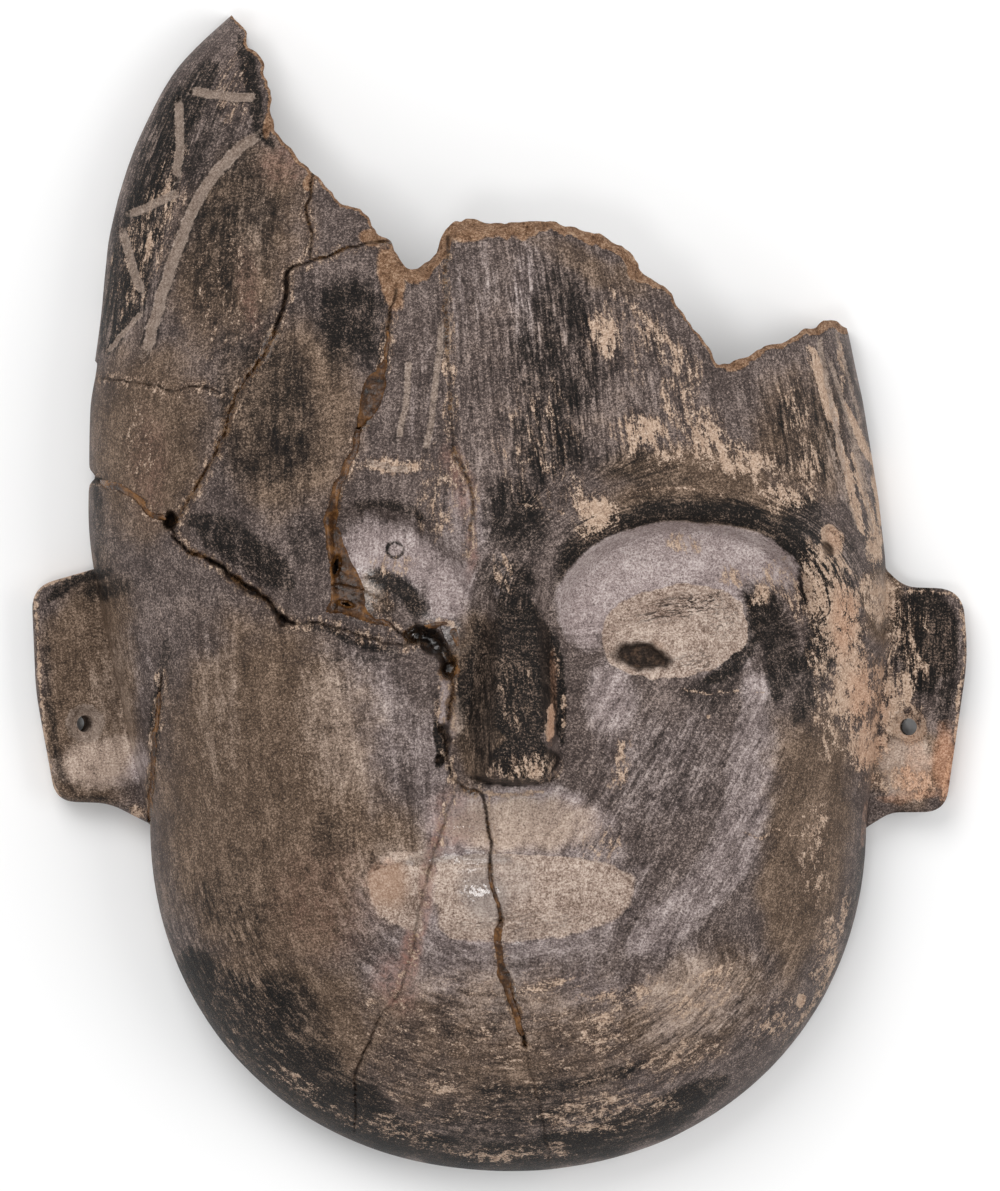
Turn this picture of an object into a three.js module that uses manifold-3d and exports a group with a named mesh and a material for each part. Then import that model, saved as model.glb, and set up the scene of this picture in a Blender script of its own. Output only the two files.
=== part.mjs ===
// A burnished clay face mask, broken across the top and mended, lying face up on its back rim.
// Millimetres. +Z is up and out of the face, +Y runs from the chin to the crown, +X to the viewer's right.
// The origin is under the middle of the mask, on the surface that the rim rests on.
import * as THREE from "three";
import { mergeVertices } from "three/addons/utils/BufferGeometryUtils.js";
import Module from "manifold-3d";

const wasm = await Module();
wasm.setup();

// Driving sizes
const WALL = 8; // thickness of the fired clay
const RIM_HEIGHT = 8.5; // how high the outline stands over the rim plane
const DOME_POWER = 2.7; // larger is a flatter face with rounder shoulders
const DOME_ROOT = 0.56;
const CHIN = { x: 1.8, y: -50.5, halfWidth: 78.8, drop: 76.8, power: 2.1 };
const EAR_THICKNESS = 9.5;
const EAR_HOLE = { radius: 1.9, funnel: 4.4 };
const PATCH_DEPTH = 0.8; // the bare ovals of eye and mouth lie this much below the burnished skin
const GAP = 0.3; // between a resin fill and the clay round it

// The sides of the head from the jaw to the crown, [x, y]. Above the break they follow the lost arch.
const LEFT_SIDE = [
  [-77, -50.5],
  [-84, -21.5],
  [-89.8, 8.3],
  [-90.4, 26],
  [-90, 44],
  [-88.2, 57.8],
  [-85.6, 79.8],
  [-80.5, 97.4],
  [-71.3, 115],
  [-59, 127.1],
];
const RIGHT_SIDE = [
  [80.6, -50.5],
  [83.8, -23.7],
  [84.9, 3],
  [82.3, 27],
  [77.4, 53.4],
  [70, 80],
  [59, 104],
  [44, 127.1],
];
// Height of the face along its middle, [y, z]
const PROFILE = [
  [-127.3, 44],
  [-95, 50],
  [-66, 53],
  [-40, 53],
  [-9, 51],
  [15, 51],
  [45, 47],
  [80, 38],
  [127.1, 22],
];
// The broken upper edge, from the tip of the horn to the right side
const BREAK = [
  [-59, 127.1],
  [-56.1, 123.1],
  [-55, 119.8],
  [-51.9, 115.4],
  [-50.6, 109.5],
  [-49.1, 101.8],
  [-45.8, 97.4],
  [-42.7, 93],
  [-37.8, 88.6],
  [-34.5, 85],
  [-30.6, 83.9],
  [-27.3, 78.9],
  [-23.8, 76.7],
  [-22, 73.2],
  [-19.6, 70.7],
  [-16.5, 71.4],
  [-13.6, 74.5],
  [-12.5, 78],
  [-10.6, 80.9],
  [-6.6, 81.3],
  [0, 80.2],
  [6.6, 81.1],
  [15.4, 80],
  [24.2, 76.9],
  [29, 73.8],
  [31.5, 69.6],
  [35.6, 66.6],
  [39.6, 61.7],
  [41.8, 57.5],
  [45.1, 54.2],
  [47.1, 50.1],
  [51.7, 50.9],
  [58.3, 53.6],
  [63.8, 55.6],
  [68.6, 58.2],
  [72.6, 59.7],
  [76.1, 58.2],
];
// Ear tabs: corners as [x, y, radius]. The inner ends run into the side of the head.
const LEFT_EAR = [
  [-70, 10.5, 4],
  [-88, 5.6, 6],
  [-103.2, 1.2, 6.5],
  [-102.2, -22, 60],
  [-97.8, -46, 5.5],
  [-86, -46.4, 14],
  [-70, -54.6, 4],
];
const RIGHT_EAR = [
  [72, 7, 4],
  [84.6, 5.4, 4],
  [89, 1.2, 8],
  [101.8, 0.8, 6.5],
  [103, -14, 50],
  [98, -48.3, 5.5],
  [86, -48.4, 8],
  [72, -57, 4],
];
// Drilled from the front, each with its own lean away from the face in degrees
const EAR_HOLES = [
  { x: -91.3, y: -28.9, lean: -20 },
  { x: 89.9, y: -29.6, lean: 5 },
];
// Features of the face
const SOCKETS = [
  { x: 40.6, y: -3.9, rx: 28.6, ry: 19.6, depth: 5 },
  { x: -34.8, y: -3, rx: 28, ry: 20, depth: 4 },
];
const EYEBALLS = [
  { x: 39.5, y: -9, rx: 20, ry: 13.5, turn: 10, height: 4.6 },
  { x: -34, y: -9, rx: 19, ry: 13, turn: -10, height: 3 },
];
const EYE_PATCHES = [
  { x: 38.6, y: -8.8, rx: 15.8, ry: 9.9, turn: 10 },
  { x: -29.5, y: -6.6, rx: 13.5, ry: 7.4, turn: -24 },
];
const EYE_PIT = { x: 28.9, y: -14.2, rx: 7, ry: 3.2, turn: -14, depth: 2.6 };
const NOSE = {
  top: [3.6, 9],
  foot: [4.4, -41.2],
  height: 16.5,
  ridge: [3.2, 6.4],
  left: [7.5, 14.2],
  right: [7, 8.8],
};
const MOUTH = { x: 0.2, y: -63.3, halfWidth: 28.8, above: 6.6, below: 12.5, power: 2.3 };
const LIPS = { x: 0.2, y: -66, rx: 40, ry: 19, height: 2.4 };
const CHEEKS = [
  { x: 47, y: -47, rx: 27, ry: 34, height: 2.6 },
  { x: -43, y: -44, rx: 30, ry: 34, height: 2 },
];
const CHIN_BOSS = { x: 2, y: -101, rx: 34, ry: 17, height: 2 };

// Grooves, each a route over the face with its width and depth
const CRACKS = [
  {
    name: "brow",
    width: 1.2,
    depth: 1.4,
    route: [
      [-22, 78.5],
      [-30.8, 75.4],
      [-46.2, 71],
      [-46.4, 64.4],
      [-51.9, 50.7],
      [-59, 38],
      [-64.9, 24.3],
      [-71, 15.4],
    ],
  },
  {
    name: "temple seam",
    width: 1.8,
    depth: 2,
    route: [
      [-92, 24.6],
      [-86.2, 23.7],
      [-78.8, 19.9],
      [-73.4, 15.9],
    ],
  },
  {
    name: "brow gap",
    width: 2.6,
    depth: 2.6,
    route: [
      [-70.6, 13],
      [-62.3, 6.5],
      [-52.4, -1.7],
      [-45.5, -5.8],
    ],
  },
  {
    name: "lid line",
    width: 1,
    depth: 1,
    route: [
      [-45.5, -5.8],
      [-38.5, -6.5],
      [-26.4, -10.8],
      [-17, -11.6],
    ],
  },
  {
    name: "eye seam",
    width: 2.2,
    depth: 2,
    route: [
      [-21.1, 72],
      [-24.4, 58.9],
      [-25.5, 48.5],
      [-30.4, 35.8],
      [-36.3, 19.7],
      [-36.3, 8],
      [-33.4, -2.4],
    ],
  },
  {
    name: "nose and mouth",
    width: 1.4,
    depth: 1.6,
    route: [
      [-11, -14.9],
      [-10.4, -28],
      [-9.7, -40.2],
      [-3.5, -44.8],
      [-1.8, -56.7],
      [0.2, -68.8],
      [1.1, -83.1],
      [4.8, -98.5],
    ],
  },
  {
    name: "ear seam",
    width: 1.6,
    depth: 1.6,
    route: [
      [-73, -10.5],
      [-75.7, -32.5],
      [-77.4, -51.5],
    ],
  },
];
const INCISED = { width: 2.1, depth: 0.8 };
const INCISED_LINES = [
  [
    [-51.6, 101.4],
    [-58.3, 95.6],
    [-64.9, 88.6],
    [-70, 79.8],
    [-73.7, 69.9],
    [-76.6, 60],
    [-77.7, 52.5],
  ],
  [
    [-68.4, 110.2],
    [-51.6, 107.6],
  ],
  [
    [-70.4, 108.4],
    [-70.6, 90.1],
  ],
  [
    [-70, 87.9],
    [-81.8, 82.4],
  ],
  [
    [-83.2, 80.6],
    [-77.9, 63.7],
  ],
  [
    [-78.4, 61.5],
    [-86.4, 52.3],
  ],
];
// Clear amber resin that fills the widest breaks, from one share of the crack's length to another
const RESIN = [
  { name: "resin_temple_seam", crack: "temple seam", from: 0.2, to: 0.9, bulge: 0.5 },
  { name: "resin_forehead_bead", crack: "eye seam", from: 0.3, to: 0.52, bulge: 1.1 },
  { name: "resin_eye_seam", crack: "eye seam", from: 0.6, to: 0.96, bulge: 0.7 },
  { name: "resin_chin_seam", crack: "nose and mouth", from: 0.66, to: 0.9, bulge: 0.5 },
  { name: "resin_ear_seam", crack: "ear seam", from: 0.3, to: 0.85, bulge: 0.5 },
];
const HOLES = [
  { x: -71.4, y: 13.6, rx: 1.7, ry: 2.9, turn: -20, depth: 5 },
  { x: -14, y: -11, rx: 3.6, ry: 2.5, turn: -20, depth: 4.5 },
  { x: -10.8, y: -16.6, rx: 2, ry: 2.4, turn: 0, depth: 3.5 },
];

// Small maths
const clamp01 = (t) => Math.min(1, Math.max(0, t));
const mix = (a, b, t) => a + (b - a) * t;
const ease = (from, to, value) => {
  const t = clamp01((value - from) / (to - from));
  return t * t * (3 - 2 * t);
};
const radians = THREE.MathUtils.degToRad;

// A smooth curve through [a, b] stations, as a function that gives one coordinate from the other.
function lookUp(stations, input, output) {
  const curve = new THREE.SplineCurve(stations.map(([a, b]) => new THREE.Vector2(a, b)));
  const samples = curve.getPoints(240).map((p) => [p.x, p.y]);
  samples.sort((p, q) => p[input] - q[input]);
  return (value) => {
    const last = samples.length - 1;
    const next = samples.findIndex((p) => p[input] >= value);
    if (next === 0) return samples[0][output];
    if (next < 0) return samples[last][output];
    const [low, high] = [samples[next - 1], samples[next]];
    const share = (value - low[input]) / Math.max(high[input] - low[input], 1e-9);
    return mix(low[output], high[output], share);
  };
}
const leftSide = lookUp(LEFT_SIDE, 1, 0);
const rightSide = lookUp(RIGHT_SIDE, 1, 0);
const profile = lookUp(PROFILE, 0, 1);

// Where (x, y) lies in an ellipse: 0 at its middle and 1 on its edge.
function inEllipse({ x: cx, y: cy, rx, ry, turn = 0 }, x, y) {
  const [c, s] = [Math.cos(radians(turn)), Math.sin(radians(turn))];
  const [dx, dy] = [x - cx, y - cy];
  return Math.hypot((dx * c + dy * s) / rx, (dy * c - dx * s) / ry);
}

// The left and right edge of the head at height y, moved in by inset.
function spanAt(y, inset) {
  if (y >= CHIN.y) return [leftSide(y) + inset, rightSide(y) - inset];
  const share = clamp01((CHIN.y - y) / (CHIN.drop - inset));
  const half = (CHIN.halfWidth - inset) * (1 - share ** CHIN.power) ** (1 / CHIN.power);
  return [CHIN.x - half, CHIN.x + half];
}

// 0 on the middle line of the head and 1 on its outline.
function reach(x, y, inset) {
  const [left, right] = spanAt(Math.max(y, CHIN.y), inset);
  const across = Math.abs(x - (left + right) / 2) / ((right - left) / 2);
  const down = Math.max(0, CHIN.y - y) / (CHIN.drop - inset);
  return Math.min(1, (across ** CHIN.power + down ** CHIN.power) ** (1 / CHIN.power));
}
const dome = (r) => (1 - r ** DOME_POWER) ** DOME_ROOT;

const mound = (shape, x, y) => shape.height * ease(1, 0, inEllipse(shape, x, y));

// A socket is cut in sharply under the brow and runs out gently on the cheek.
function socket(shape, x, y) {
  const e = inEllipse(shape, x, y);
  const open = ease(shape.y - shape.ry, shape.y + 0.35 * shape.ry, y);
  const brow = 1.5 * Math.exp(-(((e - 1.2) / 0.19) ** 2));
  return open * (brow - shape.depth * ease(1.1, 0.8, e));
}

function frontHeight(x, y) {
  const r = reach(x, y, 0);
  const shell = RIM_HEIGHT + (profile(y) - RIM_HEIGHT) * dome(r);
  const features =
    mound(LIPS, x, y) +
    mound(CHIN_BOSS, x, y) +
    SOCKETS.reduce((sum, s) => sum + socket(s, x, y), 0) +
    [...EYEBALLS, ...CHEEKS].reduce((sum, s) => sum + mound(s, x, y), 0);
  return shell + features * ease(1, 0.86, r);
}

function hollowHeight(x, y) {
  const nostril = 5 * ease(1, 0, inEllipse({ x: 3, y: -24, rx: 15, ry: 30 }, x, y));
  const eyes = SOCKETS.reduce((sum, s) => sum + 3 * ease(1.3, 0, inEllipse(s, x, y)), 0);
  return (profile(y) - WALL) * dome(reach(x, y, WALL)) + nostril - eyes;
}

// Solids
const closed = (geometry) => {
  geometry.deleteAttribute("normal");
  geometry.deleteAttribute("uv");
  const merged = mergeVertices(geometry, 1e-4);
  return new wasm.Manifold(
    new wasm.Mesh({
      numProp: 3,
      vertProperties: merged.attributes.position.array,
      triVerts: new Uint32Array(merged.index.array),
    }),
  );
};

function indexed(vertices, triangles) {
  const geometry = new THREE.BufferGeometry();
  geometry.setAttribute("position", new THREE.Float32BufferAttribute(vertices.flat(), 3));
  geometry.setIndex(triangles.flat());
  return geometry;
}

// Values from one end to the other in steps that follow the wanted spacing at each place.
function steps(from, to, spacingAt) {
  const values = [from];
  const way = Math.sign(to - from);
  while ((to - values.at(-1)) * way > spacingAt(values.at(-1)) * 1.4)
    values.push(values.at(-1) + way * spacingAt(values.at(-1)));
  return [...values, to];
}

// A solid with the head's outline moved in by inset, a flat base, and heightAt over it.
function headSolid({ inset, base, heightAt, rows, columns }) {
  const grid = rows.map((y) => {
    const [left, right] = spanAt(y, inset);
    return columns.map((u) => mix(left, right, (u + 1) / 2)).map((x) => [x, y, heightAt(x, y)]);
  });
  const wide = columns.length;
  const top = grid.flat();
  const faces = [];
  for (let i = 0; i + 1 < rows.length; i++)
    for (let j = 0; j + 1 < wide; j++) {
      const [a, b] = [i * wide + j, i * wide + j + 1];
      const [c, d] = [a + wide, b + wide];
      faces.push([a, c, b], [b, c, d]);
    }
  // The rim of the grid, anticlockwise from above
  const rim = [
    ...rows.map((_, i) => i * wide),
    ...columns.map((_, j) => (rows.length - 1) * wide + j).slice(1),
    ...rows.map((_, i) => i * wide + wide - 1).reverse().slice(1),
    ...columns.map((_, j) => j).reverse().slice(1, -1),
  ];
  const under = rim.map((i) => [top[i][0], top[i][1], base]);
  rim.forEach((here, i) => {
    const j = (i + 1) % rim.length;
    const [low, lowNext] = [top.length + i, top.length + j];
    faces.push([here, low, rim[j]], [rim[j], low, lowNext]);
  });
  const outline = under.map(([x, y]) => new THREE.Vector2(x, y));
  for (const [a, b, c] of THREE.ShapeUtils.triangulateShape(outline, []))
    faces.push([top.length + a, top.length + c, top.length + b]);
  return closed(indexed([...top, ...under], faces));
}

// A shape with each corner [x, y, radius] rounded by an arc.
function roundedShape(corners) {
  const shape = new THREE.Shape();
  corners.forEach(([x, y, radius], i) => {
    const here = new THREE.Vector2(x, y);
    const toward = ([px, py]) => new THREE.Vector2(px, py).sub(here);
    const before = toward(corners.at(i - 1));
    const after = toward(corners[(i + 1) % corners.length]);
    const turn = Math.acos(before.dot(after) / (before.length() * after.length()));
    const room = Math.min(before.length(), after.length()) * 0.48;
    const cut = Math.min(radius / Math.tan(turn / 2), room);
    const start = here.clone().add(before.setLength(cut));
    const end = here.clone().add(after.setLength(cut));
    if (i) shape.lineTo(start.x, start.y);
    else shape.moveTo(start.x, start.y);
    shape.quadraticCurveTo(x, y, end.x, end.y);
  });
  shape.closePath();
  return shape;
}

function prism(shape, from, to, curveSegments = 3) {
  const options = { depth: to - from, bevelEnabled: false, curveSegments };
  return closed(new THREE.ExtrudeGeometry(shape, options).translate(0, 0, from));
}

// A tab with rounded front edges. The back bevel is cut off at the rim plane.
function earSolid(corners) {
  const bevel = 2.2;
  const slab = new THREE.ExtrudeGeometry(roundedShape(corners), {
    depth: EAR_THICKNESS,
    bevelThickness: bevel,
    bevelSize: bevel,
    bevelOffset: -bevel,
    bevelSegments: 2,
    curveSegments: 3,
  }).translate(0, 0, -bevel);
  const below = new THREE.BoxGeometry(300, 300, 20).translate(0, 0, -10);
  return closed(slab).subtract(closed(below));
}

function earHole({ x, y, lean }) {
  const { radius, funnel } = EAR_HOLE;
  const outline = [
    [0, -6],
    [radius, -6],
    [radius, EAR_THICKNESS - 3],
    [funnel, EAR_THICKNESS - 0.4],
    [funnel + 1, EAR_THICKNESS + 4],
    [0, EAR_THICKNESS + 4],
  ].map(([r, z]) => new THREE.Vector2(r, z));
  const cutter = new THREE.LatheGeometry(outline, 16).rotateX(Math.PI / 2);
  const mouth = EAR_THICKNESS - 1.5;
  cutter.translate(0, 0, -mouth).rotateY(radians(-lean)).translate(x, y, mouth);
  return closed(cutter);
}

// Points about 6 mm apart along a smooth route, each with the direction across the route.
function along(route) {
  const curve = new THREE.SplineCurve(route.map(([x, y]) => new THREE.Vector2(x, y)));
  const count = Math.max(2, Math.round(curve.getLength() / 6));
  return Array.from({ length: count + 1 }, (_, i) => {
    const point = curve.getPointAt(i / count);
    const tangent = curve.getTangentAt(i / count);
    return { x: point.x, y: point.y, across: [-tangent.y, tangent.x] };
  });
}

// A closed skin over rings of points, all with the same number of corners.
function loft(rings) {
  const n = rings[0].length;
  const faces = [];
  for (let i = 0; i + 1 < rings.length; i++)
    for (let k = 0; k < n; k++) {
      const [a, b] = [i * n + k, i * n + ((k + 1) % n)];
      faces.push([a, b, a + n], [b, b + n, a + n]);
    }
  const last = (rings.length - 1) * n;
  for (let k = 1; k + 1 < n; k++) faces.push([0, k + 1, k], [last, last + k, last + k + 1]);
  return indexed(rings.flat(), faces);
}

// A bar through stations on the face. Its section is a ring of [offset across, height over the face].
function bar(stations, section) {
  return loft(
    stations.map(({ x, y, across: [ax, ay] }) => {
      const face = frontHeight(x, y);
      return section.map(([offset, height]) => [x + ax * offset, y + ay * offset, face + height]);
    }),
  );
}

// A V-shaped groove whose mouth, at the level of the face, has the given width.
function groove({ route, width, depth }) {
  const above = 1.6;
  const half = ((width / 2) * (depth + above)) / depth;
  const section = [
    [-half, above],
    [0, -depth],
    [half, above],
  ];
  return closed(bar(along(route), section));
}

// The fill of a stretch of a crack, clear of its walls and crowned a little over the face.
function fill({ crack, from, to, bulge }) {
  const { route, width, depth } = CRACKS.find(({ name }) => name === crack);
  const half = width / 2 - (GAP * Math.hypot(width / 2, depth)) / depth;
  const section = [
    [-half, 0],
    [0, -depth + 2.4 * GAP],
    [half, 0],
    [0, bulge],
  ];
  const stations = along(route);
  const share = (i) => i / (stations.length - 1);
  return bar(stations.filter((_, i) => share(i) >= from && share(i) <= to), section);
}

// The nose is a wedge that rises from the brows to its foot, where it drops straight to the lip.
function noseSolid() {
  const { top, foot, height, ridge, left, right } = NOSE;
  const root = 4;
  const section = (y, t, share) => {
    const x = mix(top[0], foot[0], t);
    const face = frontHeight(x, y);
    const rise = height * share * Math.sin((t * Math.PI) / 2) ** 1.1;
    const crest = mix(ridge[0], ridge[1], t);
    const widening = (rise + root) / Math.max(rise, 2);
    const spread = ([atTop, atFoot]) => crest + (mix(atTop, atFoot, t) - crest) * widening;
    return [
      [x - spread(left), y, face - root],
      [x + spread(right), y, face - root],
      [x + crest, y, face + rise - 0.8],
      [x + crest * 0.5, y, face + rise],
      [x - crest * 0.5, y, face + rise],
      [x - crest, y, face + rise - 0.8],
    ];
  };
  const sections = Array.from({ length: 9 }, (_, i) => section(mix(top[1], foot[1], i / 8), i / 8, 1));
  sections.push(section(foot[1] - 1.2, 1, 0.9), section(foot[1] - 2, 1, 0.05));
  return closed(loft(sections));
}

function ovalShape({ x, y, rx, ry, turn = 0 }) {
  const shape = new THREE.Shape();
  shape.absellipse(x, y, rx, ry, 0, 2 * Math.PI, false, radians(turn));
  return shape;
}

// Flat along the top and bowed below, with round ends.
function mouthShape() {
  const { x, y, halfWidth, above, below, power } = MOUTH;
  const points = Array.from({ length: 28 }, (_, i) => {
    const angle = (i / 28) * 2 * Math.PI;
    const [c, s] = [Math.cos(angle), Math.sin(angle)];
    const tall = s > 0 ? above : below;
    const grow = (v) => Math.sign(v) * Math.abs(v) ** (2 / power);
    return new THREE.Vector2(x + halfWidth * grow(c), y + tall * grow(s));
  });
  return new THREE.Shape(points);
}

// A bowl-shaped pit of the given depth below the face.
function pit(shape) {
  const { x, y, rx, ry, turn = 0, depth } = shape;
  const bowl = new THREE.SphereGeometry(1, 12, 8).rotateX(Math.PI / 2).scale(rx, ry, depth);
  return closed(bowl.rotateZ(radians(turn)).translate(x, y, frontHeight(x, y)));
}

// The part of the lost crown that lay above the break.
function lostCrown() {
  const beyond = [
    [95, 70],
    [95, 160],
    [-75, 160],
    [-75, 135],
  ];
  const outline = [...BREAK, ...beyond].map(([x, y]) => new THREE.Vector2(x, y));
  return prism(new THREE.Shape(outline), -20, 90);
}

function maskSolid() {
  const endRow = CHIN.y - CHIN.drop * 0.9985;
  // Rows lie closest over the eyes, and both rows and columns close up towards the outline.
  const rowSpacing = (y) => {
    if (y > 22) return 8.6;
    if (y > -24) return 3.3;
    return y > -98 ? 6.2 : Math.max(0.6, (y - endRow) / 2.8);
  };
  const columnSpacing = (u) => Math.min(0.046 + 0.02 * ease(0.6, 0.8, u), 0.01 + (1 - u) / 2.6);
  const bothWays = (half) => [...half.map((u) => -u).reverse(), ...half.slice(1)];
  const crown = LEFT_SIDE.at(-1)[1];
  const outer = headSolid({
    inset: 0,
    base: 0,
    heightAt: frontHeight,
    rows: steps(crown, endRow, rowSpacing),
    columns: bothWays(steps(0, 1, columnSpacing)),
  });

  const hollowEnd = CHIN.y - (CHIN.drop - WALL) * 0.995;
  const hollow = headSolid({
    inset: WALL,
    base: -5,
    heightAt: hollowHeight,
    rows: steps(crown, hollowEnd, (y) => (y > -100 ? 11 : Math.max(1.5, (y - hollowEnd) / 3))),
    columns: bothWays(steps(0, 1, (u) => Math.min(0.14, 0.02 + (1 - u) / 3))),
  });

  // What stays above the lowered face inside an oval is cut away, which leaves a bare patch of even depth.
  const lowered = outer.translate([0, 0, -PATCH_DEPTH]);
  const patch = (shape) => prism(shape, 20, 90, 10).subtract(lowered);

  let body = [noseSolid(), earSolid(LEFT_EAR), earSolid(RIGHT_EAR)].reduce((sum, part) => sum.add(part), outer);
  body = body.subtract(hollow).subtract(lostCrown());
  for (const cutter of [
    ...[...EYE_PATCHES.map(ovalShape), mouthShape()].map(patch),
    ...EAR_HOLES.map(earHole),
    ...[EYE_PIT, ...HOLES].map(pit),
    ...CRACKS.map(groove),
    ...INCISED_LINES.map((route) => groove({ route, ...INCISED })),
  ])
    body = body.subtract(cutter);
  return body;
}

// A solid as a flat-shaded three.js geometry.
function geometryOf(manifold) {
  const { vertProperties, triVerts } = manifold.getMesh();
  const geometry = new THREE.BufferGeometry();
  geometry.setAttribute("position", new THREE.BufferAttribute(vertProperties, 3));
  geometry.setIndex(new THREE.BufferAttribute(triVerts, 1));
  return geometry;
}

const clay = new THREE.MeshStandardMaterial({ color: 0x63554e, roughness: 0.55, metalness: 0 });
const resin = new THREE.MeshStandardMaterial({ color: 0x7d4f1c, roughness: 0.2, metalness: 0 });

function named(name, geometry, material) {
  geometry.computeVertexNormals();
  const mesh = new THREE.Mesh(geometry, material);
  mesh.name = name;
  return mesh;
}

const mask = new THREE.Group();
mask.add(named("mask_body", geometryOf(maskSolid()), clay));
for (const seam of RESIN) mask.add(named(seam.name, fill(seam), resin));

export default mask;
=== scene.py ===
import functools
import itertools
import math
from types import SimpleNamespace

import bpy
import numpy as np
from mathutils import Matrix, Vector
from mathutils.geometry import delaunay_2d_cdt


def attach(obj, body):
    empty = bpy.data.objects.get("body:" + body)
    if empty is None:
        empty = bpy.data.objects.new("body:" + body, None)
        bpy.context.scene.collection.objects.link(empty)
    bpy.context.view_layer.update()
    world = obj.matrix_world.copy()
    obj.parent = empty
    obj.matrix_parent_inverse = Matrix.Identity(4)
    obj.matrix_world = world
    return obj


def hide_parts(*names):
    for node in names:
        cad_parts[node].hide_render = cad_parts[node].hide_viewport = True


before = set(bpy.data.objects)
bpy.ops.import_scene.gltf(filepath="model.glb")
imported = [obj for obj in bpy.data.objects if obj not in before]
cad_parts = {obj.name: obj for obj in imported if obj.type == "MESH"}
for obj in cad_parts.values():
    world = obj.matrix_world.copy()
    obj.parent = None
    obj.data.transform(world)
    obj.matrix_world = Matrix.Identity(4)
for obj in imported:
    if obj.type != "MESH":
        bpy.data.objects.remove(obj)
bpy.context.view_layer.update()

# Sizes shared with the solid
WALL = 8.0
RIM_HEIGHT = 8.5
DOME_POWER = 2.7
DOME_ROOT = 0.56
CHIN_X, CHIN_Y, CHIN_HALF, CHIN_DROP, CHIN_POWER = 1.8, -50.5, 78.8, 76.8, 2.1
EAR_THICKNESS = 9.5
EAR_BEVEL = 2.2
PATCH_DEPTH = 0.8
# How softly an ear runs into the head, how thin a pit may leave the wall, and the wobble of the outline
EAR_BLEND = 1.2
THINNEST_WALL = 1.4
WOBBLE = 0.12
# The nick in the left side at the temple seam, and the ledge above it
NICK_Y, NICK_DEPTH = 25.4, 1.5
LEDGE_Y, LEDGE_DEPTH = 50.2, 0.7

LEFT_SIDE = [
    (-77, -50.5), (-84, -21.5), (-89.8, 8.3), (-90.4, 26), (-90, 44), (-88.2, 57.8), (-85.6, 79.8),
    (-80.5, 97.4), (-71.3, 115), (-59, 127.1),
]
RIGHT_SIDE = [
    (80.6, -50.5), (83.8, -23.7), (84.9, 3), (82.3, 27), (77.4, 53.4), (70, 80), (59, 104), (44, 127.1),
]
PROFILE = [
    (-127.3, 44), (-95, 50), (-66, 53), (-40, 53), (-9, 51), (15, 51), (45, 47), (80, 38), (127.1, 22),
]
BREAK = [
    (-59, 127.1), (-56.1, 123.1), (-55, 119.8), (-51.9, 115.4), (-50.6, 109.5), (-49.1, 101.8),
    (-45.8, 97.4), (-42.7, 93), (-37.8, 88.6), (-34.5, 85), (-30.6, 83.9), (-27.3, 78.9), (-23.8, 76.7),
    (-22, 73.2), (-19.6, 70.7), (-16.5, 71.4), (-13.6, 74.5), (-12.5, 78), (-10.6, 80.9), (-6.6, 81.3),
    (0, 80.2), (6.6, 81.1), (15.4, 80), (24.2, 76.9), (29, 73.8), (31.5, 69.6), (35.6, 66.6), (39.6, 61.7),
    (41.8, 57.5), (45.1, 54.2), (47.1, 50.1), (51.7, 50.9), (58.3, 53.6), (63.8, 55.6), (68.6, 58.2),
    (72.6, 59.7), (76.1, 58.2),
]
LEFT_EAR = [
    (-70, 10.5, 4), (-88, 5.6, 6), (-103.2, 1.2, 6.5), (-102.2, -22, 60), (-97.8, -46, 5.5),
    (-86, -46.4, 14), (-70, -54.6, 4),
]
RIGHT_EAR = [
    (72, 7, 4), (84.6, 5.4, 4), (89, 1.2, 8), (101.8, 0.8, 6.5), (103, -14, 50), (98, -48.3, 5.5),
    (86, -48.4, 8), (72, -57, 4),
]
# Ear holes: x, y and how far the bore drifts outwards on its way to the back
EAR_HOLES = [(-91.3, -28.9, -2.4), (89.9, -29.6, 0.7)]
HOLE_RADIUS = 1.9
HOLE_FUNNEL = 4.6
FUNNEL_DEPTH = 2.7
FUNNEL_PALENESS = (0.75, 0.3)
# Spacing of the front's points on plain skin, near sharp things and on them, and spacing of the back's
FRONT_STEPS = (1.25, 0.72, 0.45)
BACK_STEP = 2.3
# Shares of the reach where the dome turns down to the rim, and how far rings lie inside an ear's edge
FRONT_RINGS = (0.9996, 0.9985, 0.996, 0.992, 0.986, 0.978, 0.967)
BACK_RINGS = (1.0, 0.9985, 0.995, 0.988, 0.977, 0.96, 0.94)
TAB_RINGS = (0.35, 0.9, 1.6)
WALL_ROWS = 12
HOLE_POINTS = 26
# Tags of the skin's vertices
FRONT, SIDE, TORN_WALL, BACK = range(4)
# Edges that turn more than this are shown sharp
SHARP = math.radians(50)


# Small maths
def ease(start, end, value):
    t = np.clip((value - start) / (end - start), 0, 1)
    return t * t * (3 - 2 * t)


def mix(a, b, t):
    return a + (b - a) * t


def bell(off, width):
    return np.exp(-((off / width) ** 2))


def ends_fade(share, rate, low=0.0):
    """1 along a line, and down to low at its two ends."""
    return np.clip(np.minimum(share, 1 - share) * rate, low, 1)


def closed(loop):
    return np.vstack([loop, loop[:1]])


def in_box(x, y, low, high):
    return (x > low[0]) & (x < high[0]) & (y > low[1]) & (y < high[1])


def left_of(along):
    """Unit vectors to the left of the given ones."""
    return np.stack([-along[:, 1], along[:, 0]], 1) / np.hypot(*along.T)[:, None]


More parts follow.
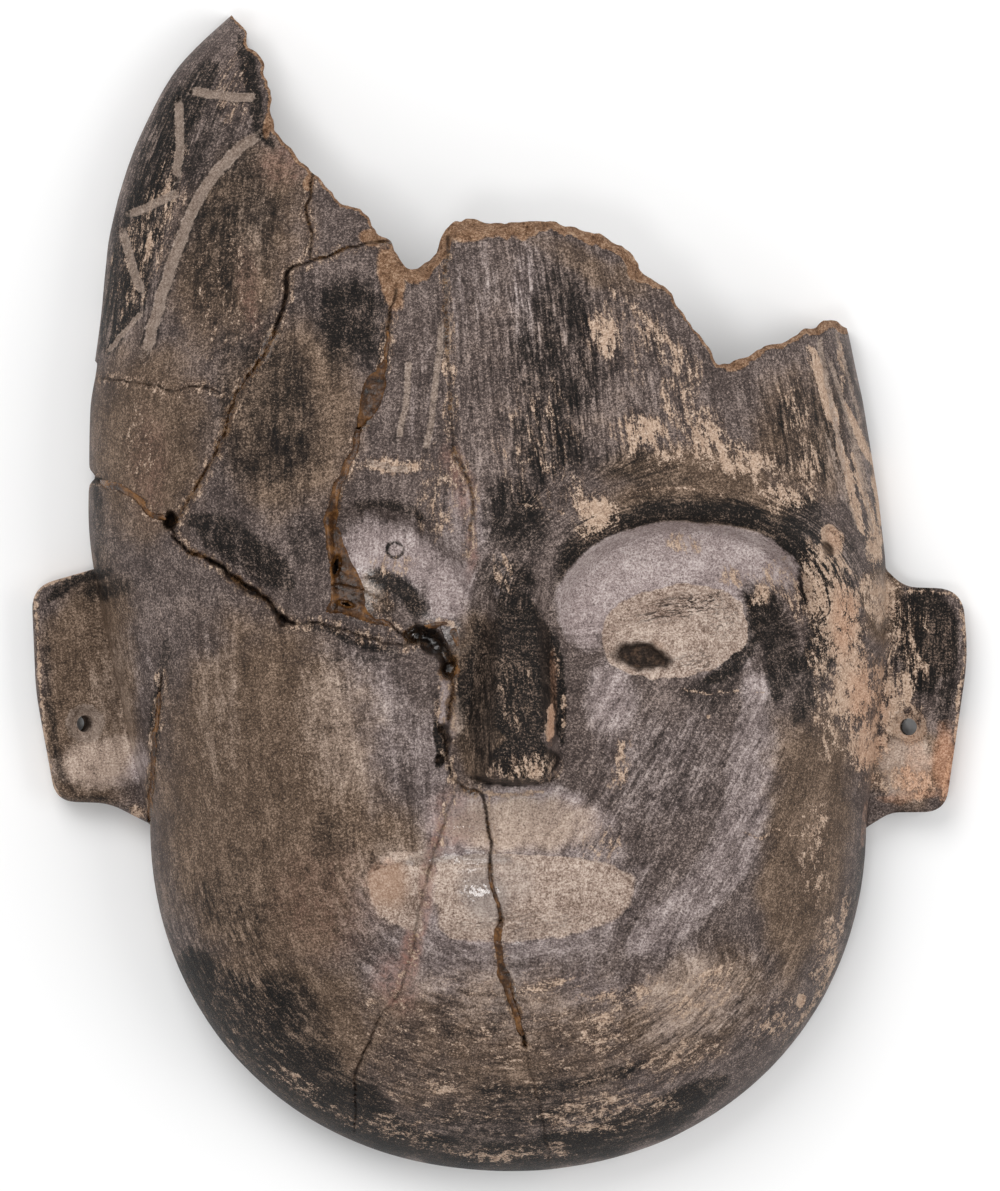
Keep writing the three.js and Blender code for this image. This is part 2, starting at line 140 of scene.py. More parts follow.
def spline(points, step):
    """A smooth curve through the points, as rows of [x, y] about step apart."""
    p = np.array(points, float)
    p = np.vstack([p[:1], p, p[-1:]])
    rows = []
    for a, b, c, d in zip(p[:-3], p[1:-2], p[2:-1], p[3:]):
        n = max(1, math.ceil(np.hypot(*(c - b)) / step))
        t = (np.arange(n) / n)[:, None]
        rows.append(
            0.5 * (2 * b + (c - a) * t + (2 * a - 5 * b + 4 * c - d) * t**2 + (3 * b - a - 3 * c + d) * t**3)
        )
    return np.vstack([*rows, p[-1:]])


def even(path, step):
    """The same open polyline with its corners moved to equal distances."""
    length = np.concatenate([[0], np.cumsum(np.hypot(*np.diff(path, axis=0).T))])
    at = np.linspace(0, length[-1], max(2, round(length[-1] / step)) + 1)
    return np.stack([np.interp(at, length, path[:, 0]), np.interp(at, length, path[:, 1])], 1)


def noise(x, y, cell, seed):
    """Smooth value noise between -1 and 1 with lumps about one cell wide."""
    size = 64
    table = np.random.default_rng(seed).uniform(-1, 1, (size, size))
    u, v = np.asarray(x) / cell + 1000, np.asarray(y) / cell + 1000
    i, j = np.floor(u).astype(int), np.floor(v).astype(int)
    s, t = ease(0, 1, u - i), ease(0, 1, v - j)
    low = mix(table[i % size, j % size], table[(i + 1) % size, j % size], s)
    high = mix(table[i % size, (j + 1) % size], table[(i + 1) % size, (j + 1) % size], s)
    return mix(low, high, t)


def noise_along(s, cell, seed):
    return noise(s, s * 0, cell, seed)


def wandering(line, spacing, rough, fade_in):
    """The line with a sideways wander, given for the distance along it, that fades out at its ends."""
    s = np.arange(len(line)) * spacing
    fade = np.clip(np.minimum(s, s[-1] - s) / fade_in, 0, 1)
    return line + left_of(np.gradient(line, axis=0)) * (rough(s) * fade)[:, None]


def look_up(stations, key):
    """A smooth function through the stations, of their x where key is 0 and of their y where it is 1."""
    rows = spline(stations, 0.5)
    rows = rows[np.argsort(rows[:, key])]
    return lambda value: np.interp(value, rows[:, key], rows[:, 1 - key])


left_side = look_up(LEFT_SIDE, 1)
right_side = look_up(RIGHT_SIDE, 1)
profile = look_up(PROFILE, 0)


def in_ellipse(x, y, cx, cy, rx, ry, turn=0, power=2):
    """0 in the middle and 1 on the outline, which is boxier for a higher power."""
    c, s = math.cos(math.radians(turn)), math.sin(math.radians(turn))
    dx, dy = x - cx, y - cy
    return (np.abs((dx * c + dy * s) / rx) ** power + np.abs((dy * c - dx * s) / ry) ** power) ** (1 / power)


def reach(x, y, inset=0.0):
    """0 on the middle line of the head, 1 on its outline."""
    level = np.maximum(y, CHIN_Y)
    left, right = left_side(level) + inset, right_side(level) - inset
    across = np.abs(x - (left + right) / 2) / ((right - left) / 2)
    down = np.maximum(0, CHIN_Y - y) / (CHIN_DROP - inset)
    return (across**CHIN_POWER + down**CHIN_POWER) ** (1 / CHIN_POWER)


def dome(r):
    return (1 - np.clip(r, 0, 1) ** DOME_POWER) ** DOME_ROOT


def to_path(x, y, path):
    """Distance to a polyline, the share of its length there, and +1 or -1 for its left or right side."""
    best = np.full(x.shape, 1e9)
    share = np.zeros(x.shape)
    side = np.ones(x.shape)
    lengths = np.hypot(*np.diff(path, axis=0).T)
    starts = np.concatenate([[0], np.cumsum(lengths)])
    for a, b, start, length in zip(path[:-1], path[1:], starts, lengths):
        if length < 1e-6:
            continue
        d = (b - a) / length
        along = (x - a[0]) * d[0] + (y - a[1]) * d[1]
        off = (y - a[1]) * d[0] - (x - a[0]) * d[1]
        kept = np.clip(along, 0, length)
        gap = np.hypot(along - kept, off)
        closer = gap < best
        best = np.where(closer, gap, best)
        share = np.where(closer, (start + kept) / starts[-1], share)
        side = np.where(closer, np.sign(off), side)
    return best, share, side


def inside(x, y, polygon):
    """True where the point lies in the closed polygon."""
    hit = np.zeros(x.shape, bool)
    for (ax, ay), (bx, by) in zip(polygon, np.roll(polygon, -1, axis=0)):
        if ay == by:
            continue
        crosses = (ay > y) != (by > y)
        hit ^= crosses & (x < (bx - ax) * (y - ay) / (by - ay) + ax)
    return hit


# Outlines
def rounded(corners, step):
    """A closed polygon with rounded corners [x, y, radius]."""
    rows = []
    for i, (x, y, radius) in enumerate(corners):
        here = np.array([x, y], float)
        before = np.array(corners[i - 1][:2], float) - here
        after = np.array(corners[(i + 1) % len(corners)][:2], float) - here
        lb, la = np.hypot(*before), np.hypot(*after)
        turn = math.acos(np.dot(before, after) / lb / la)
        cut = min(radius / math.tan(turn / 2), min(lb, la) * 0.48)
        start, end = here + before / lb * cut, here + after / la * cut
        for t in np.linspace(0, 1, 9):
            rows.append((1 - t) ** 2 * start + 2 * t * (1 - t) * here + t**2 * end)
    rows.append(rows[0])
    return even(np.array(rows), step)[:-1]


STEP = 0.65


def side_line(side_of, top, bottom, seed):
    y = np.linspace(top, bottom, round(abs(top - bottom) / STEP) + 1)
    return np.stack([side_of(y) + WOBBLE * noise_along(y, 7, seed), y], 1)


def chin_curve(half, drop, count):
    """The lower half of a boxy ellipse, from the left of the chin to its right."""
    a = np.linspace(math.pi, 2 * math.pi, count)
    grow = lambda v: np.sign(v) * np.abs(v) ** (2 / CHIN_POWER)
    return np.stack([CHIN_X + half * grow(np.cos(a)), CHIN_Y + drop * grow(np.sin(a))], 1)


def head_outline():
    """From the tip of the horn down the left side, round the chin and up to the right temple."""
    left = side_line(left_side, LEFT_SIDE[-1][1], CHIN_Y, 1)
    y = left[:, 1]
    left[:, 0] += NICK_DEPTH * bell(y - NICK_Y, 1.3)
    left[:, 0] += LEDGE_DEPTH * ease(LEDGE_Y + 0.7, LEDGE_Y, y) * ease(LEDGE_Y - 10.2, LEDGE_Y - 1.2, y)
    right = side_line(right_side, CHIN_Y, BREAK[-1][1], 2)
    chin = even(chin_curve(CHIN_HALF, CHIN_DROP, 400), STEP)
    chin[:, 1] += WOBBLE * noise(chin[:, 0], chin[:, 1], 9, 3) * ease(-50, -70, chin[:, 1])
    return np.vstack([left[:-1], chin[1:-1], right[1:]])


def break_line():
    """From the right temple back to the tip of the horn, rough as torn clay."""
    spacing = 0.5
    rough = lambda s: 0.42 * noise_along(s, 2.6, 4) + 0.2 * noise_along(s, 1.1, 5)
    return wandering(even(spline(BREAK, 0.6), spacing)[::-1], spacing, rough, 3)


HEAD = head_outline()
TORN = break_line()
LEFT_TAB, RIGHT_TAB = rounded(LEFT_EAR, STEP), rounded(RIGHT_EAR, STEP)
HEAD_LOOP = np.vstack([HEAD, TORN[1:-1]])


def with_tab(outline, tab):
    """The outline with its stretch inside the tab replaced by the part of the tab that stands out."""
    buried = np.flatnonzero(inside(*outline.T, tab))
    first, last = buried[0], buried[-1]
    out = ~inside(*tab.T, HEAD_LOOP)
    start = next(i for i in range(len(tab)) if out[i] and not out[i - 1])
    run = np.roll(tab, -start, axis=0)[np.roll(out, -start)]
    if np.hypot(*(run[0] - outline[first])) > np.hypot(*(run[-1] - outline[first])):
        run = run[::-1]
    return np.vstack([outline[:first], run, outline[last + 1 :]])


SIDES = with_tab(with_tab(HEAD, RIGHT_TAB), LEFT_TAB)
OUTLINE = np.vstack([SIDES, TORN[1:-1]])
IS_TORN = np.concatenate([np.zeros(len(SIDES), bool), np.ones(len(TORN) - 2, bool)])

# Features of the face: x, y, half-widths, turn in degrees and boxiness
RIGHT_SOCKET = (40.6, -3.9, 28.6, 19.6)
LEFT_SOCKET = (-31, -3, 26, 22)
RIGHT_BED = (37.9, -8.5, 15.8, 9.9, 9, 2.35)
LEFT_BED = (-28.6, -6.4, 12.6, 5.6, -32)
NOSE_TOP, NOSE_FOOT = (3.6, 9), (4.4, -41.2)
NOSE_HEIGHT = 16.5
MOUTH_X, MOUTH_Y, MOUTH_HALF, MOUTH_UP, MOUTH_DOWN, MOUTH_POWER = 0.2, -63.3, 28.8, 6.6, 12.5, 2.3
# Swellings: an oval and its height
MOUNDS = {
    "mouth": ((0.2, -66, 40, 19), 2.4),
    "chin": ((2, -101, 34, 17), 2.0),
    "right cheek": ((47, -47, 27, 34), 2.6),
    "left cheek": ((-43, -44, 30, 34), 2.0),
    "right eyeball": ((39.5, -9, 20, 13.5, 10), 4.8),
    "left eyeball": ((-30, -8, 17, 11, -16), 2.4),
}
# Level dents and ledges: y, half-width, height, x of the middle, and how far from it they end and are full
LEVEL_LINES = {
    "dent above the lip": (-54.6, 2.6, -1.3, -2, 26, 12),
    "ledge of the lip": (-57.9, 1.3, 0.9, -4, 20, 8),
    "dent under the mouth": (-82, 6, -1.6, 1, 34, 14),
}

# Cracks: width, depth, how much the left side of the route stands over the right, and the route
CRACKS = {
    "brow": (0.6, 0.8, 0.3, [(-22.4, 76.4), (-26, 76.4), (-31.6, 75.4), (-39, 72.8), (-45.4, 71)]),
    "brow bend": (1.05, 1.4, 0.5, [(-45, 71), (-46.6, 69.4), (-46.4, 64.4), (-47.6, 60), (-49.4, 56)]),
    "brow low": (0.6, 0.7, 0.4, [(-49.4, 56), (-52.6, 50), (-56.8, 44.3), (-60.6, 33.4), (-64.9, 24.6),
        (-70.6, 15.6)]),
    "brow fork": (0.55, 0.8, 0.2, [(-40.9, 91.4), (-41.6, 86), (-42.4, 83.6), (-41, 78), (-41.4, 72.8)]),
    "temple line": (0.5, 0.6, 0.2, [(-89.6, 47.2), (-84, 46.6), (-81.4, 46.3), (-76, 45.2), (-71, 44),
        (-66, 44.9), (-61, 43.4)]),
    "temple seam": (1.2, 1.6, -0.4, [(-90, 24.8), (-86.2, 23.9), (-82.5, 22.6), (-79.2, 20.4), (-77, 17.6),
        (-73.7, 16.2), (-71, 13)]),
    "brow gap": (0.8, 1.2, -1.4, [(-71.6, 12.4), (-69.4, 10.4), (-67.4, 8.4), (-64.4, 7.8)]),
    "brow gap wide": (2.0, 2.4, -1.7, [(-64.4, 7.6), (-62, 6.2), (-57.8, 3.2), (-54.8, 0.6), (-51.5, -1)]),
    "brow gap end": (1.2, 1.6, -1.6, [(-51.5, -1), (-49.8, -2.6), (-48.8, -4), (-46.8, -6.2),
        (-44.4, -6.8)]),
    "lid line": (0.55, 0.7, -1.3, [(-44.4, -6.8), (-39.6, -6.8), (-33, -8.4), (-26.4, -10.6),
        (-20.2, -11.4), (-16.4, -10.6)]),
    "eye seam top": (0.6, 0.8, 0.4, [(-22.6, 66), (-24, 60), (-24.4, 55.4), (-25, 50.5)]),
    "eye seam bead": (2.0, 1.8, 0.4, [(-25, 50.5), (-26, 46.5), (-28.4, 40), (-30.6, 36)]),
    "eye seam": (1.5, 1.8, 0.6, [(-30.6, 36), (-31.4, 31.4), (-34.2, 25), (-36.2, 19.8), (-36.4, 12),
        (-35.2, 5), (-33.6, -1), (-31.6, -4)]),
    "under lid": (0.6, 0.8, 0.6, [(-33, -3.4), (-28.4, -5.6), (-24.6, -6.6), (-21.4, -9), (-17.4, -10.2)]),
    "inner eye": (3.3, 4.6, 0.3, [(-19.4, -9.2), (-16.4, -9.4), (-13.8, -11), (-12, -13.2), (-11, -17.6)]),
    "nose side": (0.6, 0.7, 0.5, [(-10.4, -16), (-10.6, -22), (-11, -27), (-11.6, -33.4), (-10.4, -40.2)]),
    "mouth": (0.65, 0.9, 0.4, [(-6, -42.6), (-3.6, -44.4), (-2.6, -49), (-1.9, -55), (-2, -61), (-0.8, -66),
        (0.2, -71)]),
    "chin": (1.3, 1.7, 0.5, [(0.2, -71), (-0.1, -76), (0.8, -82), (2.2, -87), (3.4, -91), (4.6, -95),
        (5.4, -98.4)]),
    "chin hair": (0.4, 0.4, 0, [(5.4, -98.4), (7, -106), (8.8, -113), (10.4, -121), (10.8, -126)]),
    "cheek": (0.42, 0.32, 0.3, [(-10, -44), (-13, -52), (-15.4, -60), (-17.4, -68), (-19, -77), (-21, -85),
        (-23.6, -89), (-26, -92)]),
    "cheek low": (0.55, 0.7, 0.2, [(-26, -92), (-28.4, -98), (-31.8, -105), (-31.4, -111), (-31.9, -118)]),
    "forehead hair": (0.35, 0.38, 0.2, [(-11.4, 77.4), (-11.8, 66), (-11.6, 55), (-10.8, 44), (-10.4, 34),
        (-9.4, 29), (-6.4, 23), (-6.2, 16), (-7, 8)]),
    "ear": (0.75, 1.1, 0.4, [(-73.8, -18), (-74.6, -24), (-75.4, -30), (-76.2, -38), (-76.8, -45.6),
        (-77.4, -50.6)]),
    "cheek craze": (0.3, 0.2, 0, [(38.8, -21), (43.3, -21.9), (48.8, -21.7), (51.7, -21.2), (55.8, -21.7),
        (58.8, -21.5)]),
    "jaw craze": (0.3, 0.2, 0, [(52, -52), (57, -53.4), (60, -51.6), (64, -53), (68, -52.6)]),
    "brow craze": (0.3, 0.2, 0, [(25.8, 20.6), (31.8, 22.3), (38.8, 22.7), (44.8, 21.7), (49.3, 21)]),
    "glabella craze": (0.3, 0.2, 0, [(3.1, 19.3), (9, 18.2), (14.7, 17.2)]),
    "nose foot": (0.45, 0.4, 0.2, [(-10.4, -40.2), (-7.6, -42.2), (-5.6, -43.4)]),
}
# Cut with a blunt point: width, depth and the route
INCISED = {
    "horn arc": (2.3, 1.0, [(-51.4, 100.8), (-57, 97), (-62.7, 91), (-66.8, 84.4), (-70.4, 75.4),
        (-73.6, 66), (-76, 58), (-77.8, 51.4)]),
    "top bar": (1.9, 0.7, [(-67.8, 109.9), (-60, 108.8), (-53.4, 108.2)]),
    "upright bar": (1.9, 0.7, [(-70.6, 108.2), (-70.2, 99), (-70.8, 90.4)]),
    "middle bar": (1.8, 0.7, [(-70.2, 87.6), (-76, 85), (-81.4, 83)]),
    "slant bar": (1.8, 0.7, [(-83, 79.6), (-81.4, 74), (-78.4, 65.4)]),
    "low bar": (1.1, 0.45, [(-78.2, 61.4), (-83, 56.4), (-86.4, 52.6)]),
    "brow stroke a": (1.5, 0.3, [(-19.8, 51), (-20.4, 42), (-22, 33)]),
    "brow stroke b": (1.5, 0.35, [(-12.6, 59.6), (-13.8, 46), (-16.1, 30)]),
    "brow stroke c": (1.6, 0.3, [(-29.4, 28.6), (-24, 27), (-19.6, 26.8)]),
    "edge stroke a": (1.3, 0.35, [(69.6, 57), (71.6, 46), (73.6, 36), (76, 24)]),
    "edge stroke b": (1.2, 0.35, [(72, 52), (75.6, 40), (78.6, 30), (81, 21)]),
    "edge stroke c": (0.9, 0.3, [(70.8, 36), (74.8, 24), (78.4, 14)]),
    "edge stroke d": (0.9, 0.3, [(73.4, 58), (77, 45), (79.4, 36)]),
    "edge stroke e": (0.8, 0.3, [(77, 33), (80, 22), (82, 12)]),
}
# Holes and pits: x, y, half-widths, turn and depth
PITS = {
    "temple hole": (-71.9, 15.4, 1.7, 2.4, -20, 5.0),
    "inner eye foot": (-10.9, -16.8, 1.7, 1.6, 0, 4.2),
    "nose chip a": (-12.4, -29.6, 1.5, 1.1, 40, 1.8),
    "nose chip b": (-11.4, -31.8, 0.9, 2.2, 10, 1.8),
    "nose chip c": (-12.9, -36.2, 1.5, 0.9, 30, 1.5),
    "eye crescent": (30.9, -13.7, 6.7, 3.2, -11, 2.4),
    "seam pit": (-33.5, -2.5, 1.9, 0.7, -14, 1.8),
    "gap chip": (-47.2, -6.2, 1.9, 1.3, -60, 2.2),
    "temple pit": (72.6, 11.2, 2.4, 3.3, 25, 1.8),
    "jaw pit": (66, -89.4, 1.0, 1.7, 0, 1.0),
    "cheek pit": (45.2, -27, 0.4, 0.4, 0, 0.5),
    "cavity left": (-18.8, -9.6, 2.3, 1.5, -12, 3.4),
    "cavity middle": (-15.2, -11.4, 2.6, 2.0, -35, 3.8),
    "temple pit shade": (71.6, 9.4, 1.3, 2.0, 25, 1.9),
    "seam pit upper": (-35.7, 5.6, 1.0, 2.6, -12, 2.0),
}
# Pits whose inside is pale, and how shallow a line is when it only scratches the skin pale
PALE_PITS = ("temple pit", "jaw pit", "cheek pit")
SCRATCH_DEPTH = 0.25

RING_MARK = [(-22.9 + 1.8 * math.cos(a), 9.1 + 1.7 * math.sin(a)) for a in np.linspace(0, 8, 17)]
# Soft folds and faint marks: half-width, depth, how dark, and the route
CREASES = {
    "lid a": (0.9, 0.35, 0.6, [(-43.6, -6.9), (-38, -8), (-32.3, -10.6), (-27, -12), (-21, -12.8)]),
    "lid b": (0.6, 0.25, 0.5, [(-39.6, -14), (-34, -14.6), (-29, -14.2), (-23.8, -14.4), (-20, -13.6)]),
    "lid c": (0.8, 0.25, 0.35, [(-34, -7.6), (-29, -9.4), (-24.4, -10.8), (-19.6, -11.4)]),
    "left temple": (1.5, 0.4, 0.45, [(-71.6, -10), (-73, -18), (-74.8, -26)]),
    "left brow": (1.1, 0.3, 0.7, [(-32.6, 18.4), (-27, 19.3), (-20.6, 18.2), (-15.4, 15.4)]),
    "lens": (1.9, 0.35, 0.95, [(-29.9, 3.4), (-25.7, 2.9), (-21.5, 0.8), (-18.3, -2.4), (-16.2, -6.1)]),
    "ring mark": (0.3, 0.2, 0.8, RING_MARK),
    "socket fold a": (0.5, 0.2, 0.4, [(22, -2), (27, 4), (34, 7.6), (42, 8), (49, 5)]),
    "socket fold b": (0.7, 0.25, 0.5, [(49, 5), (53, 1.4), (55.6, -4), (55.4, -9)]),
}


def wavy(table, amount, seed):
    """For each entry, its route, which is its last value, with the small wander of a real crack."""
    spacing = 0.9
    lines = {}
    for i, (name, (*_, route)) in enumerate(table.items()):
        rough = lambda s: amount * noise_along(s, 2.2, seed + i)
        lines[name] = wandering(even(spline(route, 1), spacing), spacing, rough, 2)
    return lines


CRACK_LINES = wavy(CRACKS, 0.34, 20)
FOLD_LINES = wavy(CREASES, 0.15, 90)
CUT_LINES = wavy(INCISED, 0.2, 60)


def socket(x, y, shape, depth, brow):
    _, cy, _, ry = shape
    e = in_ellipse(x, y, *shape)
    opened = ease(cy - ry, cy + 0.35 * ry, y)
    return opened * (brow * bell(e - 1.15, 0.14) - depth * ease(1.03, 0.85, e))


def nose_parts(x, y):
    """How far down the nose, the crest's middle, its half-width and the foot of the flank on this side."""
    down = np.clip((NOSE_TOP[1] - y) / (NOSE_TOP[1] - NOSE_FOOT[1]), 0, 1)
    crest = mix(NOSE_TOP[0], NOSE_FOOT[0], down)
    ridge = mix(3.0, 6.0, down)
    flank = np.where(x < crest, mix(7.5, 14.2, down), mix(7.0, 9.4, down))
    return down, crest, ridge, flank


def nose(x, y):
    down, crest, ridge, flank = nose_parts(x, y)
    off = np.abs(x - crest)
    side = np.clip((flank - off) / (flank - ridge), 0, 1) ** 1.25
    round_over = 1 - np.sqrt(np.clip(1 - (off / (ridge + 2.5)) ** 2, 0, 1))
    rise = NOSE_HEIGHT * np.sin(down * math.pi / 2) ** 1.1
    foot = NOSE_FOOT[1] + 3.2 * np.clip(off / flank, 0, 1) ** 3
    tip = ease(foot - 0.7, foot + 1.1, y)
    worn = 1.2 * ease(foot + 6, foot, y)
    return np.maximum(0, rise * side - np.minimum(1.5 * round_over, rise * 0.3) - worn * side) * tip


def in_mouth(x, y):
    """0 in the middle of the mouth's bare oval and 1 on its outline."""
    tall = np.where(y > MOUTH_Y, MOUTH_UP, MOUTH_DOWN)
    level = np.abs((x - MOUTH_X) / MOUTH_HALF) ** MOUTH_POWER + np.abs((y - MOUTH_Y) / tall) ** MOUTH_POWER
    return level ** (1 / MOUTH_POWER)


def beds(x, y, soft=0.0):
    """0 outside the bare ovals and 1 inside them, with a slightly ragged edge."""
    ragged = 0.035 * noise(x, y, 2.2, 8) + 0.03 * noise(x, y, 5, 9)
    e = np.minimum(in_ellipse(x, y, *RIGHT_BED), in_ellipse(x, y, *LEFT_BED) + 0.02)
    mouth = ease(1.04 + soft, 0.98 - soft, in_mouth(x, y) + 0.7 * ragged)
    return np.maximum(ease(1.04, 0.97, e + ragged), mouth)


def tab_height(x, y, tab):
    """Height of an ear tab with its rounded upper edge, and far below everything beside it."""
    t = np.clip(1 - to_path(x, y, closed(tab))[0] / EAR_BEVEL, 0, 1)
    height = EAR_THICKNESS - EAR_BEVEL * (1 - np.sqrt(np.clip(1 - t * t, 0, 1)))
    return np.where(inside(x, y, tab), height, -1e3)


def front_height(x, y, fine=True):
    """Height of the front surface, with or without its fine relief."""
    r = reach(x, y)
    features = nose(x, y) + 0.35 * noise(x, y, 22, 10) + 0.16 * noise(x, y, 9, 11)
    for shape, height in MOUNDS.values():
        features += height * ease(1, 0, in_ellipse(x, y, *shape))
    for level, half, height, middle, gone, full in LEVEL_LINES.values():
        features += height * bell(y - level, half) * ease(gone, full, np.abs(x - middle))
    seam_side = ease(-37.5, -35.5, x + 0.06 * (y - 10))
    features += socket(x, y, RIGHT_SOCKET, 5.8, 1.6)
    features += socket(x, y, LEFT_SOCKET, 3.4, 1.1) * mix(0.3, 1, seam_side)
    features -= PATCH_DEPTH * beds(x, y)
    face = RIM_HEIGHT + (profile(y) - RIM_HEIGHT) * dome(r) + features * ease(1, 0.86, r)
    for tab, near in ((LEFT_TAB, x < -60), (RIGHT_TAB, x > 60)):
        ear = np.full(x.shape, -1e3)
        ear[near] = tab_height(x[near], y[near], tab)
        soft = np.clip(0.5 + (ear - face) / (2 * EAR_BLEND), 0, 1)
        joined = mix(face, ear, soft) + EAR_BLEND * soft * (1 - soft)
        face = np.where(ear > 0, np.where(r < 1, joined, ear), face)
    if fine:
        face = np.maximum(face + relief(x, y), back_height(x, y) + THINNEST_WALL)
    return face


def crack_half(x, y, width, ends, i):
    """Half the width of a crack, which opens and closes along its way."""
    vary = 1 + 0.5 * noise(x, y, 2.6, 100 + i) + 0.3 * noise(x, y, 7, 240 + i)
    return width / 2 * np.maximum(0.3, vary) * (0.5 + 0.5 * ends)


def folded(x, y, name, half):
    """1 along the middle of a fold, falling off softly."""
    d, s, _ = to_path(x, y, FOLD_LINES[name])
    return bell(d, half) * np.clip(np.minimum(s, 1 - s) * 6 + 0.25, 0, 1)


def in_pit(x, y, i, pit):
    """0 in the middle of a pit and 1 on its ragged edge."""
    return in_ellipse(x, y, *pit[:5]) + 0.2 * noise(x, y, 1.5, 180 + i)


def relief(x, y):
    """Cracks, cuts, pits, chips along the break and the ear holes' funnels, as a change of height."""
    change = np.zeros(x.shape)
    for i, (name, (width, depth, step, _)) in enumerate(CRACKS.items()):
        d, s, side = to_path(x, y, CRACK_LINES[name])
        ends = ends_fade(s, 12)
        half = crack_half(x, y, width, ends, i)
        change -= depth * (0.75 + 0.25 * ends) * ease(1.15, 0.25, d / half)
        change += 0.5 * step * side * np.exp(-d / 5) * ends
    for i, (name, (width, depth, _)) in enumerate(INCISED.items()):
        d, s, _ = to_path(x, y, CUT_LINES[name])
        half = width / 2 * (0.7 + 0.3 * ends_fade(s, 14)) * (1 + 0.18 * noise(x, y, 1.6, 140 + i))
        change -= depth * (1 + 0.25 * noise(x, y, 3, 160 + i)) * ease(1.1, 0.3, d / half)
    for name, (half, depth, _, _) in CREASES.items():
        change -= depth * folded(x, y, name, half)
    for i, pit in enumerate(PITS.values()):
        change -= pit[-1] * ease(1.1, 0.45, in_pit(x, y, i, pit))
    for cx, cy, _ in EAR_HOLES:
        d = np.hypot(x - cx, y - cy) + 0.25 * noise(x, y, 2, 200)
        change -= FUNNEL_DEPTH * ease(HOLE_FUNNEL, HOLE_RADIUS - 0.2, d)
    d, s, _ = to_path(x, y, TORN)
    wide = chip_width(x, y, s)
    jagged = 1 + 0.25 * noise(x, y, 1.3, 212)
    return change - (0.3 + 0.85 * wide) * np.clip(1 - d / wide, 0, 1) ** 0.9 * jagged


def chip_width(x, y, share):
    """How far the skin has flaked back from the break: most over the forehead and the right temple."""
    forehead = ease(0.24, 0.32, share) * ease(0.66, 0.6, share)
    temple = ease(0.2, 0.13, share)
    wide = 0.5 + 2.3 * forehead + 1.0 * temple + 0.1 * ease(0.7, 0.8, share)
    return np.maximum(0.3, wide * (1 + 0.45 * noise(x, y, 6, 210) + 0.25 * noise(x, y, 1.7, 211)))


def back_height(x, y):
    """Height of the back: 0 on the rim and the ears, and the hollow inside."""
    r = reach(x, y, WALL)
    nostril = 5 * ease(1, 0, in_ellipse(x, y, 3, -24, 15, 30))
    eyes = 3 * sum(ease(1.3, 0, in_ellipse(x, y, *shape)) for shape in (RIGHT_SOCKET, LEFT_SOCKET))
    uneven = 0.35 * noise(x, y, 14, 12) + 0.12 * noise(x, y, 6, 13)
    hollow = (profile(y) - WALL) * dome(r) + (nostril - eyes + uneven) * ease(1, 0.9, r)
    return np.where(r < 1, hollow, 0.0)


# Points for the surfaces
def lattice(step, low, high):
    """Points of a grid of triangles that fills the box."""
    rows = []
    for k, y in enumerate(np.arange(low[1], high[1], step * math.sqrt(3) / 2)):
        x = np.arange(low[0] + (k % 2) * step / 2, high[0], step)
        rows.append(np.stack([x, np.full_like(x, y)], 1))
    return np.vstack(rows)


def detail_distance(x, y):
    """Distance to the nearest sharp thing that the mesh has to follow."""
    near = np.full(x.shape, 1e9)
    for line in [*CRACK_LINES.values(), *CUT_LINES.values(), FOLD_LINES["ring mark"], TORN]:
        box = in_box(x, y, line.min(0) - 4, line.max(0) + 4)
        near[box] = np.minimum(near[box], to_path(x[box], y[box], line)[0])
    for pit in PITS.values():
        near = np.minimum(near, np.maximum(0, in_ellipse(x, y, *pit[:5]) - 1.1) * min(pit[2:4]))
    for cx, cy, _ in EAR_HOLES:
        near = np.minimum(near, np.maximum(0, np.hypot(x - cx, y - cy) - HOLE_FUNNEL))
    return near


def form_distance(x, y):
    """Small where the form bends quickly: brows, the edge of the bare ovals and the nose."""
    near = np.full(x.shape, 1e9)
    for shape in (RIGHT_SOCKET, LEFT_SOCKET):
        _, cy, _, ry = shape
        brow = np.maximum(0, np.abs(in_ellipse(x, y, *shape) - 1.03) - 0.17) * ry
        near = np.where(y > cy - 4, np.minimum(near, brow), near)
    for bed in (RIGHT_BED, LEFT_BED):
        near = np.minimum(near, np.maximum(0, np.abs(in_ellipse(x, y, *bed) - 1) - 0.12) * 9)
    near = np.minimum(near, np.maximum(0, np.abs(in_mouth(x, y) - 1) - 0.1) * 9)
    beside_nose = np.maximum(np.abs(x - 2) - 15, np.abs(y + 16) - 29)
    return np.minimum(near, np.maximum(0, beside_nose))


def ring_points(inset, shares):
    """Points along lines of equal reach, which lie closest where the dome turns down to the rim."""
    level = np.arange(CHIN_Y, LEFT_SIDE[-1][1], 1.0)
    left, right = left_side(level) + inset, right_side(level) - inset
    middle = (left + right) / 2
    rows = []
    for share in shares:
        rows += [np.stack([middle + (edge - middle) * share, level], 1) for edge in (left, right)]
        rows.append(chin_curve((CHIN_HALF - inset) * share, (CHIN_DROP - inset) * share, 230))
    return np.vstack(rows)


def tab_rings(tab, depths):
    """Points along lines inside the tab's edge, where it stands out from the head."""
    inward = left_of(np.roll(tab, -1, axis=0) - np.roll(tab, 1, axis=0))
    if not inside(*(tab[10:11] + inward[10:11]).T, tab)[0]:
        inward = -inward
    rows = np.vstack([tab[::2] + inward[::2] * depth for depth in depths])
    return rows[reach(*rows.T) > 1.0]


def apart(points, gap):
    """The points without those that share a cell of that size with an earlier one."""
    _, first = np.unique(np.floor(points / gap).astype(int), axis=0, return_index=True)
    return points[np.sort(first)]


